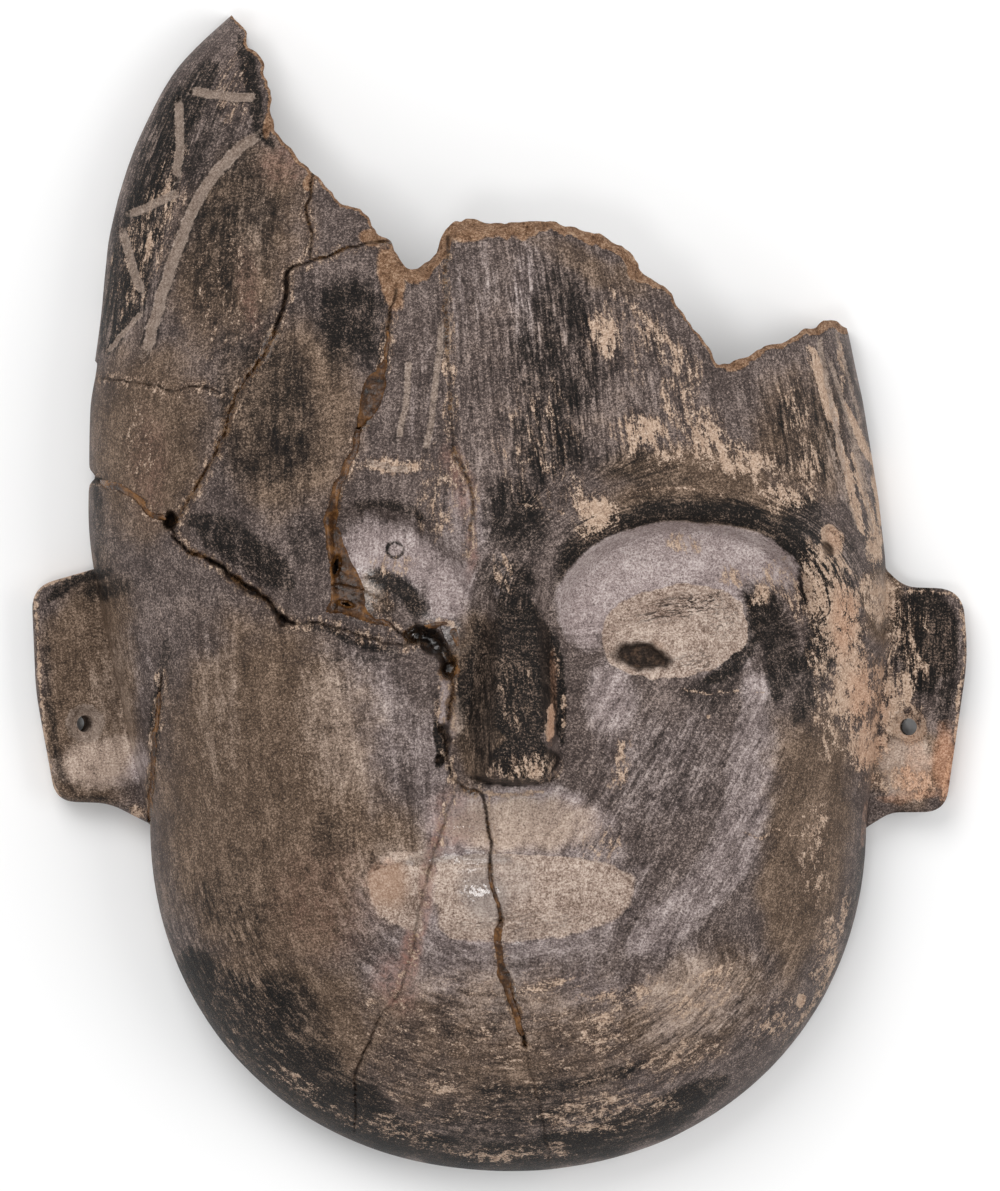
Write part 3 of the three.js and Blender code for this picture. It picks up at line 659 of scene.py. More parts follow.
def triangulate(loop, holes, points):
    """Delaunay triangles of the region inside loop and outside the holes."""
    edges, start = [], 0
    for ring in (loop, *holes):
        n = len(ring)
        edges += [(start + i, start + (i + 1) % n) for i in range(n)]
        start += n
    everything = np.vstack([loop, *holes, points])
    vertices, _, faces, *_ = delaunay_2d_cdt([Vector(p) for p in everything], edges, [], 1, 1e-6)
    if len(vertices) != len(everything):
        raise RuntimeError("an outline crosses itself, or two points are the same")
    faces = np.array([f for f in faces if len(f) == 3])
    middle = everything[faces].mean(1)
    keep = inside(*middle.T, loop)
    for hole in holes:
        keep &= ~inside(*middle.T, hole)
    return everything, faces[keep]


def hole_loop(cx, cy, radius):
    a = np.arange(HOLE_POINTS) / HOLE_POINTS * 2 * math.pi
    return np.stack([cx + radius * np.cos(a), cy + radius * np.sin(a)], 1)


def clear_of(points, loops, gap):
    keep = np.ones(len(points), bool)
    for loop in loops:
        keep &= to_path(*points.T, closed(loop))[0] > gap
    return points[keep]


def front_points(holes):
    """Points of the front: a wide grid, finer ones near and on sharp things, and rings along the rims."""
    low, high = OUTLINE.min(0), OUTLINE.max(0)
    chosen = []
    for level, step in enumerate(FRONT_STEPS):
        p = lattice(step, low, high)
        p = p[inside(*p.T, OUTLINE)]
        sharp, form, r = detail_distance(*p.T), form_distance(*p.T), reach(*p.T)
        wanted = np.where(sharp < 1.3, 2, np.where((sharp < 2.8) | (form < 0.6), 1, 0))
        off_rim = (r < 0.955) | (r > 1.012) | (wanted > 0)
        chosen.append(p[(wanted == level) & off_rim])
    rings = ring_points(0, FRONT_RINGS)
    rings = rings[inside(*rings.T, OUTLINE)]
    rings = rings[detail_distance(*rings.T) > 1.3]
    tabs = [tab_rings(tab, TAB_RINGS) for tab in (LEFT_TAB, RIGHT_TAB)]
    points = apart(np.vstack([*chosen, rings, *tabs]), 0.16)
    points = clear_of(points[inside(*points.T, OUTLINE)], [OUTLINE, *holes], 0.02)
    for cx, cy, _ in EAR_HOLES:
        points = points[np.hypot(points[:, 0] - cx, points[:, 1] - cy) > HOLE_RADIUS + 0.15]
    return points


def back_points(loop, holes):
    p = lattice(BACK_STEP, loop.min(0), loop.max(0))
    r = reach(*p.T, WALL)
    points = apart(np.vstack([p[(r < 0.93) | (r > 1.03)], ring_points(WALL, BACK_RINGS)[::2]]), 0.4)
    points = clear_of(points[inside(*points.T, loop)], [loop, *holes], 0.5)
    for hole in holes:
        points = points[~inside(*points.T, hole)]
    return points


def wall_rows(top):
    """Rows of points down the wall. The torn part is rough; the rest has a softly rounded lower edge."""
    outward = -left_of(np.roll(OUTLINE, -1, axis=0) - np.roll(OUTLINE, 1, axis=0))
    low = back_height(*OUTLINE.T)
    arc = np.concatenate([[0], np.cumsum(np.hypot(*np.diff(OUTLINE, axis=0).T))])
    ends = ease(0, 3, np.min([np.abs(arc - arc[i]) for i in np.flatnonzero(IS_TORN)[[0, -1]]], 0))
    rows = []
    for t in np.linspace(0, 1, WALL_ROWS + 1)[1:]:
        z = mix(top, low, t)
        bevel = 0.9 * (1 - math.sqrt(max(0, 1 - max(0, (t - 0.84) / 0.16) ** 2)))
        rough = 0.5 * noise(arc, z, 2.4, 14) + 0.22 * noise(arc, z, 1.0, 15) - 0.5
        swell = math.sin(math.pi * min(1, t * 1.02)) ** 0.6
        shift = np.where(IS_TORN, (rough * swell - 0.35 * t) * ends, -bevel)
        rows.append(np.column_stack([OUTLINE + outward * shift[:, None], z]))
    return rows


def shell():
    """The whole clay body as one closed skin: vertices, triangles and a tag per vertex."""
    n = len(OUTLINE)
    holes = [hole_loop(cx, cy, HOLE_RADIUS) for cx, cy, _ in EAR_HOLES]
    flat, front_faces = triangulate(OUTLINE, holes, front_points(holes))
    top = np.column_stack([flat, front_height(*flat.T)])
    *rows, rim = wall_rows(top[:n, 2])
    back_loop = rim[:, :2]
    back_holes = [hole_loop(cx + drift, cy, HOLE_RADIUS) for cx, cy, drift in EAR_HOLES]
    flat_back, back_faces = triangulate(back_loop, back_holes, back_points(back_loop, back_holes))
    under = np.column_stack([flat_back, back_height(*flat_back.T)])
    under[:n, 2] = rim[:, 2]

    wall_tags = np.where(IS_TORN, TORN_WALL, SIDE)
    tags = np.concatenate([np.full(len(top), FRONT), *[wall_tags for _ in rows], np.full(len(under), BACK)])
    faces = [front_faces]
    upper, base = np.arange(n), len(top)
    for _ in rows:
        faces += strip(upper, base + np.arange(n))
        upper = base + np.arange(n)
        base += n
    faces += strip(upper, base + np.arange(n))
    faces.append(back_faces[:, ::-1] + base)
    for k in range(len(holes)):
        ring = n + k * HOLE_POINTS + np.arange(HOLE_POINTS)
        faces += [f[:, ::-1] for f in strip(ring, base + ring)]
    return np.vstack([top, *rows, under]), np.vstack(faces), tags


def strip(upper, lower):
    """Two triangles for each step of a band between two rings that run anticlockwise seen from above."""
    u, v = np.roll(upper, -1), np.roll(lower, -1)
    return [np.stack([upper, lower, u], 1), np.stack([u, lower, v], 1)]


def add_object(name, data):
    obj = bpy.data.objects.new(name, data)
    bpy.context.scene.collection.objects.link(obj)
    return obj


def make_mesh(name, points_mm, triangles):
    mesh = bpy.data.meshes.new(name)
    mesh.from_pydata((np.asarray(points_mm) / 1000).tolist(), [], np.asarray(triangles).tolist())
    mesh.validate()
    mesh.shade_smooth()
    mesh.set_sharp_from_angle(angle=SHARP)
    return add_object(name, mesh)


vertices, faces, tags = shell()
mask = make_mesh("clay_mask", vertices, faces)
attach(mask, "root")
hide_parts("mask_body")

# Where the skin changes. Ovals lie grouped by their place on the face, and each is x, y, half-width,
# half-height, turn in degrees and strength. Bands are half-width, strength and a route.
# Soot blackens the clay in clouds. Some of these ovals and bands are painted shade instead: on the nose's
# right flank and under it, beside the right eye's bare oval, along the left ear's and the head's left edges,
# along the chin and over the left jaw.
SOOT_AND_SHADE = {
    "left ear": [(-86, 0.5, 9, 3, 10, 0.6)],
    "right ear": [(85.5, -6, 3, 7.5, 0, 0.55), (98, -23.5, 2.5, 9, 0, 0.6), (93, -9, 8.5, 12.5, 0, 0.95)],
    "horn": [(-59, 80, 12, 24, -15, 0.58)],
    "left forehead": [
        (-50, 38, 16, 24, 10, 0.62), (-45, 60, 13, 14, 0, 0.4), (-33, 59, 10, 12, 0, 0.8),
        (-25.5, 53.5, 3.5, 6.5, 0, 0.6), (-43, 33.5, 10, 12, 0, 0.25), (-52.5, 27, 4, 6.5, 20, 0.45),
    ],
    "middle of the forehead": [
        (12, 50, 11, 22, 0, 0.55), (10, 33.5, 10.5, 13, 0, 0.6), (13, 52, 13, 22, 0, 0.6),
    ],
    "right forehead and temple": [
        (31, 58, 4.5, 9, 35, 0.35), (31, 27, 13, 5, -8, 0.5), (66, 36, 7.5, 13, 0, 0.45),
        (71, 32, 4.5, 9, 10, 0.58),
    ],
    "left eye and temple": [
        (-41.5, 10, 5, 8, 0, 0.45), (-87, 11.5, 3, 9, 0, 0.4), (-25, -2.4, 5, 3.6, -35, 0.42),
    ],
    "nose and its root": [
        (3.5, 16, 8.5, 10.5, 0, 0.65), (2, 3, 7.5, 6, 0, 0.75), (-4.4, -23, 5.6, 21, 0, 0.85),
        (3.6, -4, 6, 6, 0, 0.9), (-25.2, -26.5, 2.6, 3.4, 0, 0.4), (-34.8, -21.8, 3.8, 2.5, 40, 0.4),
        (4.4, -18, 6, 17, 0, 0.95),
    ],
    "right eye": [(16.5, 10.5, 6, 5.5, 40, 0.6)],
    "right temple, low": [(66, 16, 6, 9, 30, 0.6), (77, 7, 3, 6.5, 0, 0.5)],
    "cheeks": [
        (35, -38, 15, 12, 25, 0.3), (47, -21.5, 10, 5, 0, 0.42), (66, -37, 5.5, 24, 0, 0.22),
        (-57, -67.5, 10, 13, 10, 0.4), (-36.5, -56.5, 9, 12, 0, 0.35),
    ],
    "chin and jaw": [
        (6, -117, 40, 7, 0, 0.55), (44, -92, 13, 9, 35, 0.1), (-4.5, -107, 26.5, 6.5, 0, 0.35),
        (-49, -94, 12, 14, 40, 0.78), (-6.5, -92, 11, 11, 0, 0.3),
    ],
}
SOOT_AND_SHADE_BANDS = {
    "horn border": (5.7, 0.75, [(-63.5, 115), (-70.5, 104), (-75, 91), (-79, 78.5), (-82.5, 65.5),
        (-85.5, 54.5)]),
    "horn edge": (1.8, 0.75, [(-57.5, 122.5), (-54, 111.5), (-52.5, 103), (-49.5, 97.5)]),
    "horn inside": (3.1, 0.5, [(-60.5, 106), (-65, 95), (-66, 84)]),
    "nose front": (7.2, 1.5, [(4.6, -4), (4.5, -12.5), (5, -31.5)]),
    "nose foot": (5.3, 1.1, [(0, -36), (10.5, -36)]),
    # Painted shade: on the nose's right flank, which is turned from the light, and as a dark line under its
    # lower edge
    "nose right flank": (1.1, 0.8, [(12.5, -10.5), (13.5, -32.5)]),
    "nose bottom line": (0.8, 0.85, [(-6.5, -39.9), (3.5, -41.4), (12, -39.9)]),
    # Painted shade below and to the right of the right eye's bare oval
    "bed shadow": (2.2, 0.85, [(53, 0), (55.5, -7), (52.5, -14), (45.5, -19)]),
    "outer eye": (3.5, 0.62, [(66, 5), (69.5, -6), (68, -19), (64, -28)]),
    # Over the left jaw and along the chin's lower edge: soot, and painted shade where the surface turns away
    "jaw left": (10.5, 0.96, [(-67, -82), (-61, -94), (-50, -105), (-37, -114), (-22, -120.5)]),
    "chin": (4.8, 0.85, [(-22, -120.5), (-4.5, -124), (13, -122.5), (33, -116), (48.5, -107)]),
    "chin streak": (2.2, 0.6, [(-6.5, -110.5), (13, -108.5), (31, -103)]),
    "right jaw edge": (2, 0.5, [(79.5, -56.5), (77.5, -72), (72, -86.5), (64, -98.5)]),
    "right ear outer": (6.6, 1.1, [(93.5, -1.5), (94.5, -10.5), (93.5, -19)]),
    # Painted shade where the left ear's top and outer edges turn away
    "left ear top edge": (1.5, 0.95, [(-99.5, -1.5), (-93.5, 3), (-85.5, 4.5)]),
    "left ear edge": (1.0, 0.55, [(-100.5, -4), (-99, -23.5), (-97, -39), (-93.5, -44.5)]),
    "left ear foot": (0.7, 0.6, [(-93.5, -45), (-86, -45.5), (-79, -49)]),
    # Painted shade along the rounded left edge of the head
    "left edge": (1.3, 0.6, [(-89, 25), (-88, 6)]),
    "chip by the nose": (1.3, 1.2, [(-14, -28), (-12.5, -34.5), (-13.5, -37.5)]),
    "lip line": (1.1, 0.2, [(-10, -56), (13, -52)]),
    "ear seam": (1.3, 0.6, [(-73, -10.5), (-75, -23.5), (-76, -37), (-77.5, -49)]),
    # Darker clay to the right of the right eye's bare oval, deepened by painted shade
    "right of the bed": (4.4, 0.68, [(54.6, 1.4), (58.6, -5), (61.4, -13), (60.6, -22)]),
    "left fold": (4.6, 0.75, [(-66, 15.6), (-58.6, 11.4), (-51, 6), (-46, 1.4)]),
    # Soot and painted shade over the left jaw
    "jaw left shade": (12, 0.8, [(-65, -84), (-56, -98), (-45, -107), (-34, -113)]),
}
# Lilac sheen painted into the colour: partly the burnish's own lilac-grey, partly painted reflection of the
# lamps
SHEEN = {
    "left ear": [(-87, -37.5, 12, 6.5, 0, 0.85), (-83.5, -21.5, 8, 15.5, 0, 0.3)],
    "right ear": [(88.5, -38.5, 7, 7, 0, 1.0), (83.4, -1.6, 3.4, 6.4, 0, 0.7)],
    "horn": [(-54, 80, 9, 17.5, -15, 0.2)],
    "left forehead": [(-16.5, 42.5, 5.5, 20, 0, 0.15)],
    "middle of the forehead": [(-6.5, 67.5, 7.5, 10.5, 0, 0.25), (6, 64.5, 3.5, 13, 0, 0.3)],
    "left eye and temple": [(-24, 8.6, 13, 9, -6, 0.85)],
    "nose and its root": [
        (-11.5, 1.5, 6.5, 9, 0, 0.8), (-8, 14, 6.5, 10, 0, 0.5), (-31, -28, 15.5, 20, 0, 0.42),
        (-16.5, -37, 5.5, 15.5, 0, 0.4), (0.2, 3, 2.8, 6, 0, 0.7), (-11.6, -25, 2.6, 9, 4, 0.9),
        (-62, -24, 6, 20, 0, 0.28),
    ],
    "right eye": [(18.5, -4, 5.5, 9, 0, 0.9), (48.5, -16.5, 9, 3, 10, 0.4)],
    "mouth and lip": [
        (24.5, -23.5, 7, 9.5, 0, 0.6), (3, -49.5, 21, 7.5, 0, 1.3), (0, -66, 38, 19, 0, 0.55),
    ],
    "cheeks": [(56, -22, 4, 5.5, 0, 0.6), (36, -38, 17, 17, 0, 0.32), (35, -74, 11, 5.5, 25, 0.5)],
    "chin and jaw": [
        (-17.5, -84, 15.5, 6.5, 0, 0.45), (8, -87, 26, 11, 0, 0.38), (42, -88, 16, 11, 30, 0.6),
    ],
}
SHEEN_BANDS = {
    # Painted highlights: along the right cheek's edge, on the lip's ledge and on the mouth
    "cheek band": (5.6, 0.5, [(55.5, -23.5), (54.5, -39), (51.5, -54.5), (44, -64.5), (34, -71)]),
    "lip ledge": (1.3, 0.9, [(-25.5, -58), (-13, -56.5), (0, -57.5)]),
    "mouth sheen": (4.4, 0.6, [(-13, -64.5), (-4.5, -64.5)]),
}
# Wear, where the slip is rubbed off; a few bands below are painted highlights and reflections instead
WORN_AND_HIGHLIGHTS = {
    "left ear": [(-79, -48.5, 2, 2, 0, 0.9)],
    "right ear": [
        (86, -23.5, 5.5, 11, 0, 0.75), (89, -41.5, 10, 3, 0, 0.8), (89, -16, 5.5, 4, 0, 0.4),
        (88.5, -9, 5, 9, 0, 0.5), (84, -2.6, 4.4, 6, 0, 0.9), (89.9, -29.6, 5, 5, 0, 1.1),
    ],
    "horn": [
        (-59.5, 64.5, 11, 17.5, -15, 0.2), (-58.5, 110.5, 4.5, 9, 0, 0.4), (-77, 77.5, 5.5, 20, -20, 0.45),
    ],
    "left forehead": [(-24, 27, 7.5, 2, -4, 0.75), (-79, 33.5, 4, 13, 0, 0.32)],
    "middle of the forehead": [(9, 31.5, 10, 15.5, 0, 0.25)],
    "right forehead and temple": [
        (22.5, 56, 4.5, 5.5, 0, 0.8), (34, 54.5, 3, 9, 25, 0.5), (39.5, 43.5, 4, 10, 0, 0.55),
        (31, 36, 5.5, 5, 20, 0.78), (27.5, 56.5, 11, 13, 0, 0.15), (44, 33.5, 5.5, 6.5, 0, 0.8),
        (52.5, 28.5, 10, 4.2, -14, 0.78), (38, 31, 6.5, 4, 0, 0.5), (67, 27, 4, 6.5, 0, 0.6),
        (64, 41, 4.5, 6.5, 0, 0.35),
    ],
    "left eye and temple": [
        (-25.5, -1.5, 3, 3, 0, 0.3), (-22.6, 6.6, 5, 3, 0, 0.4), (-13, 20.5, 5.5, 11, 0, 0.4),
    ],
    "nose and its root": [
        (4.6, -37.6, 7.5, 3.4, 0, 0.6), (4, -24, 5, 14, 0, 0.12), (0.6, 4, 2.8, 6, 0, 0.6),
        (-11.8, -27, 2, 9, 4, 0.45), (1.6, -26, 1.6, 4, 0, 0.3),
    ],
    "right eye": [
        (21.5, 17.5, 5.5, 5.5, 25, 0.85), (17.5, 20.5, 3, 6.5, 0, 0.5), (60.5, 20.5, 5.5, 3.5, -20, 0.7),
        (60, 4.5, 4.5, 4, -20, 0.5), (50.6, 4.6, 3.4, 2.4, -20, 0.75), (56.4, 0.4, 3, 3.4, -30, 0.7),
        (40, 10.8, 4, 2, 0, 0.72),
    ],
    "right temple, low": [
        (66, -1.5, 3, 6.5, 0, 0.6), (73, 7, 3.5, 7.5, 0, 0.9), (74.5, -6, 5, 9.5, 0, 1.0),
        (76.5, -21.5, 5.5, 10, 0, 1.0), (81, -33.5, 6.5, 5.5, 0, 0.95), (69.5, -12.5, 3, 9, 0, 0.5),
        (81, 0.5, 3, 3, 0, 0.85), (82.6, 10.4, 2.4, 6, 0, 1.0), (71.5, -26, 3.4, 11, 0, 0.55),
        (72, -2, 6, 14, 6, 0.75), (77, -14, 5, 16, 0, 0.8),
    ],
    "mouth and lip": [(25.5, -38, 2.2, 7, -14, 0.55), (22, -54.5, 5.5, 4, 0, 0.35)],
    "cheeks": [(68.5, -56.5, 3.5, 13, -4, 0.52)],
    "chin and jaw": [
        (71.5, -77.5, 3, 11, -14, 0.56), (60.5, -94, 6.5, 5.5, 40, 0.45), (26.5, -89.5, 10, 5, 25, 0.5),
        (44, -86.5, 12, 6, 30, 0.5), (22, -97.5, 5.5, 5.5, 0, 0.55), (39.5, -102, 12, 4.5, 25, 0.5),
        (22, -114, 17.5, 4.5, 8, 0.5), (4.5, -122.5, 13, 2, 0, 0.5), (10, -85, 5.5, 2.5, 15, 0.6),
        (-12.5, -106.5, 3.4, 1.8, 0, 0.75), (-24, -117, 11, 3.5, -12, 0.45), (-44, -108.5, 9, 2, -35, 0.5),
        (-25.5, -89.5, 6.5, 3, 10, 0.45), (-55, -94, 10, 17, 30, 0.1), (4, -100, 42, 20, 0, 0.24),
    ],
}
WORN_AND_HIGHLIGHT_BANDS = {
    "break rim": (1.1, 0.6, [(24, 66.5), (33, 58), (42, 49)]),
    "nose edge a": (0.35, 0.8, [(11.8, -10.6), (12.4, -15), (12.4, -18)]),
    "temple stroke a": (1.3, 1.25, [(68.1, 53.6), (71.2, 44), (73.9, 35.1)]),
    "temple stroke b": (0.85, 1.2, [(75.3, 41.6), (81.2, 30.3), (82.6, 24.8), (83.6, 15)]),
    "temple stroke c": (0.9, 1.1, [(77.4, 30.3), (78.8, 24.8), (81.2, 17.9), (82.4, 12)]),
    "temple stroke d": (0.8, 0.7, [(74.7, 55), (75.3, 50.2), (74.7, 42.6)]),
    # Pale lines along the rim: worn edges, brightened as painted reflection of the bright surroundings
    "jaw line": (0.9, 0.5, [(-37.5, -113), (-17.5, -120.5), (0, -125)]),
    "right rim": (0.7, 0.6, [(76, -63), (75, -74), (70.5, -87.5), (61.5, -100.5)]),
    "temple stroke a low": (0.9, 1.2, [(73.9, 35.1), (75.4, 28.9), (77.4, 20.6), (79.6, 12.6)]),
    "nose edge b": (0.85, 1.3, [(10.9, -24.6), (10.6, -29), (10.2, -32)]),
    "nose edge c": (0.4, 0.9, [(13.4, -22), (13.6, -26), (13.2, -29)]),
    # Painted highlight along the roof of the cavity beside the nose
    "cavity rim": (0.8, 0.8, [(-16.4, -6.4), (-12.4, -6.2), (-9.2, -7.6)]),
    "nose rim": (0.5, 0.9, [(-6, -43), (3, -44), (10, -42.6)]),
    # Pale rims along the ears' edges: worn clay, and painted reflection of the bright surroundings
    "left ear rim": (0.45, 0.95, [(-90, 5.2), (-99.6, 2), (-102, -1.6), (-101.4, -20), (-98.6, -40),
        (-96.6, -45)]),
    "right ear rim": (0.45, 0.85, [(90, 0.4), (99.6, 0), (101.6, -3), (102.2, -14), (100, -32),
        (97.4, -45.6)]),
}
BROWN = {
    "left ear": [(-90, -21, 12, 30, 0, 1.0)],
    "right ear": [(89, -38, 9, 9, 0, 1.0), (84, -2, 6, 8, 0, 1.0)],
    "horn": [(-57, 75.5, 15.5, 26.5, -20, 0.75)],
    "left forehead": [(-77, 33.5, 15.5, 24, 0, 0.8), (-46, 38, 17, 24, 0, 0.8)],
    "middle of the forehead": [(14, 50, 26, 28, 0, 0.2)],
    "right forehead and temple": [
        (42, 25, 24, 6.5, -5, 0.8), (66, 33.5, 13, 17.5, 0, 0.6), (22, 71, 20, 4.5, -20, 0.5),
    ],
    "left eye and temple": [(-27, -1, 5, 5, 0, 0.8)],
    "nose and its root": [(-4.5, -23.5, 7.5, 20, 0, 1.0)],
    "right eye": [(44, 18, 26, 10, 0, 0.8)],
    "mouth and lip": [(-24, -59, 11, 15.5, 0, 0.7), (4, -50, 20, 7, 0, 0.8)],
    "cheeks": [(-50.5, -45.5, 26.5, 44, 0, 1.0), (66, -54.5, 11, 33, -6, 0.9)],
    "chin and jaw": [
        (-4.5, -98.5, 42, 20, 0, 0.55), (-50, -98, 24, 26, 30, 1.0), (42, -90, 20, 13, 30, 0.7),
    ],
}
ORANGE = {
    "right ear": [(98.4, -39, 4.0, 12, 0, 0.8), (90, -46, 9, 2, 0, 0.6), (92, -40, 5, 8, 0, 0.55)],
    "left forehead": [(-24, 67.5, 3, 7.5, 8, 0.7)],
    "left eye and temple": [(-26, -2, 3.4, 3, 0, 0.2)],
    "right eye": [(34, -12, 2.5, 2, -20, 0.3)],
    "right temple, low": [
        (75, -6, 3.5, 9, 0, 0.42), (80.5, -23.5, 5, 11, 0, 0.42), (73, 12, 2.4, 3, 25, 0.2),
    ],
    "mouth and lip": [(-25, -63, 5, 5.6, 0, 0.55)],
    "cheeks": [(81.5, -37, 4.5, 6.5, 0, 0.35)],
}
ORANGE_BANDS = {
    "nose edge": (1.1, 0.5, [(11.4, -12), (12, -20), (10.6, -33)]),
    "right rim": (0.9, 0.5, [(80.5, -45.5), (79.5, -56.5)]),
}
PINK = {
    "horn": [(-48.5, 93.5, 5.5, 5.5, 0, 0.5), (-54.5, 65, 2.6, 11, 8, 0.5)],
    "left forehead": [(-77, 27, 4.5, 13, 0, 0.3)],
    "middle of the forehead": [(-9, 24, 3, 8, 10, 0.75)],
    "nose and its root": [(-6, 10, 1.3, 7.5, 0, 0.8)],
    "mouth and lip": [(-10.5, -49, 5.5, 7.5, 0, 0.6), (-16.5, -63, 2.5, 9.5, -16, 0.6)],
    "cheeks": [(-37.5, -67.5, 13, 13, 0, 0.25)],
    "chin and jaw": [(-23, -86.5, 5, 6.5, 25, 0.8)],
}
PINK_BANDS = {
    "cheek crack": (2.1, 1.15, [(-13, -50), (-15.4, -60), (-17.4, -68), (-19, -77), (-21, -85),
        (-24, -90)]),
}
FLAKED = {
    "horn": [(-41.5, 89.5, 1.5, 2, 0, 0.9), (-51, 102, 1, 3, 0, 0.8)],
    "left forehead": [(-24, 68, 3, 7.5, 14, 1.0), (-28, 77, 3, 2, -20, 1.0)],
    "middle of the forehead": [(-6.5, 78, 5, 2, 0, 0.9)],
    "right forehead and temple": [(34, 70.5, 4.5, 2.5, -40, 1.0), (51.5, 50, 3.5, 1.5, 10, 0.9)],
}
# Where the burnishing strokes show most
STREAKED = {
    "left ear": [(-90, -22, 13, 24, 0, 0.4)],
    "right ear": [(91, -14, 13, 20, 0, 0.9)],
    "middle of the forehead": [(14, 46, 36, 42, 0, 0.9)],
    "nose and its root": [(4, -18, 12, 28, 0, 0.8)],
    "right temple, low": [(68, 22, 20, 40, 0, 1.0)],
    "cheeks": [(38, -44, 38, 42, -14, 0.5)],
    "chin and jaw": [(0, -106, 70, 20, 0, 0.55), (-60, -84, 16, 34, 30, 0.85), (45, -88, 26, 18, 30, 0.9)],
}
STREAKED_BANDS = {
    "horn border": (8, 0.9, [(-62, 115), (-70.5, 104), (-75, 91), (-79, 78.5), (-82.5, 65.5),
        (-85.5, 54.5)]),
}
PLAIN_STREAKS = 0.28
# Dark scratches across the bare ovals
SCRATCHED = {
    "right eye": [(40, -3.4, 11, 3.2, 10, 1.0), (49, -6, 4.5, 5, 0, 0.6), (43, -16, 6, 2, 10, 0.6)],
    "mouth and lip": [(4, -72, 18, 2.4, 0, 0.45)],
}
# Thin clear glue and hard burnish, which catch the light; on the bare ovals they are also painted lighter,
# as painted sheen
GLOSSY = {
    "left eye and temple": [(-31, 0, 5, 6, 0, 0.8), (-13.5, -10, 6.5, 4.6, -20, 1.0)],
    "mouth and lip": [
        (-4.5, -64.5, 6, 5.6, 0, 1.0), (3, -62, 5, 4.6, 0, 0.35), (-6.2, -47.6, 6, 4.4, 0, 0.85),
    ],
    "chin and jaw": [(2, -84, 3, 12, -10, 0.5)],
}
GLOSSY_BANDS = {
    "lip ledge": (1.6, 0.9, [(-20, -58), (-10, -56.4), (2, -57.6)]),
}

# How much amber glue shows in each crack
GLUED = {
    "brow": 0.6,
    "brow bend": 0.5,
    "brow low": 1.1,
    "brow fork": 0.6,
    "temple line": 0.15,
    "temple seam": 0.9,
    "brow gap": 1.0,
    "brow gap wide": 0.6,
    "brow gap end": 0.5,
    "lid line": 0.3,
    "eye seam top": 0.55,
    "eye seam bead": 0.9,
    "eye seam": 0.95,
    "under lid": 0.8,
    "inner eye": 0.75,
    "nose side": 0.95,
    "nose foot": 1.0,
    "forehead hair": 0.7,
    "mouth": 0.8,
    "chin": 0.8,
    "cheek": 0.4,
    "ear": 0.85,
}
# The layers: ovals, bands, the seed of their wandering edges and, where it isn't 1, how far those wander
LAYERS = {
    "soot": (SOOT_AND_SHADE, SOOT_AND_SHADE_BANDS, 400),
    "sheen": (SHEEN, SHEEN_BANDS, 410),
    "worn": (WORN_AND_HIGHLIGHTS, WORN_AND_HIGHLIGHT_BANDS, 430),
    "brown": (BROWN, {}, 440),
    "orange": (ORANGE, ORANGE_BANDS, 450),
    "pink": (PINK, PINK_BANDS, 460),
    "streaked": (STREAKED, STREAKED_BANDS, 470),
    "gloss": (GLOSSY, GLOSSY_BANDS, 475),
    "scratched": (SCRATCHED, {}, 477),
    "flaked": (FLAKED, {}, 480, 0.5),
}


def spread(x, y, ovals, bands, seed, wander=1.0):
    """The strongest of several soft ovals and bands, with wandering edges."""
    wx = x + wander * (1.1 * noise(x, y, 11, seed) + 0.9 * noise(x, y, 4, seed + 1))
    wy = y + wander * (1.4 * noise(x, y, 12, seed + 2) + 0.9 * noise(x, y, 4, seed + 3))
    amount = np.zeros(x.shape)
    for *shape, strength in itertools.chain(*ovals.values()):
        amount = np.maximum(amount, strength * ease(1.32, 0.45, in_ellipse(wx, wy, *shape)))
    wx, wy = mix(x, wx, 0.3), mix(y, wy, 0.3)
    for half, strength, route in bands.values():
        line = spline(route, 2)
        box = in_box(wx, wy, line.min(0) - 2 * half, line.max(0) + 2 * half)
        d, s, _ = to_path(wx[box], wy[box], line)
        ends = 0.45 + 0.55 * ends_fade(s, 6)
        amount[box] = np.maximum(amount[box], strength * ease(1.35, 0.6, d / (half * ends)))
    return amount


def stroke_field(x, y):
    """Where a point lies across and along the burnishing strokes, and how much two kinds of them mix. The
    first answer has those that follow the outline of the head, the slanting ones on the right cheek and the
    round ones over the right eye. The second has the first kind alone."""
    middle = (left_side(np.maximum(y, CHIN_Y)) + right_side(np.maximum(y, CHIN_Y))) / 2
    across, along = reach(x, y) * 80, y + np.abs(x - middle)
    third = 4 * ease(-14, 14, x - middle)
    plain = np.stack([across, along, third], 1)
    lean = math.radians(29)
    dx, dy = x - 38, y + 46
    slant = ease(1.25, 0.85, in_ellipse(x, y, 36, -44, 30, 36, -14))
    across = mix(across, 37 + dx * math.cos(lean) - dy * math.sin(lean), slant)
    along = mix(along, -10 + dx * math.sin(lean) + dy * math.cos(lean), slant)
    cx, cy, _, _ = RIGHT_SOCKET
    e = in_ellipse(x, y, *RIGHT_SOCKET)
    arc = ease(1.75, 1.3, e) * ease(-16, -4, y)
    across = mix(across, e * 22 + 22, arc)
    along = mix(along, np.arctan2(y - cy, x - cx) * 30, arc)
    mixing = 4 * np.maximum(arc * (1 - arc), slant * (1 - slant))
    return np.stack([across, along, third], 1), plain, mixing


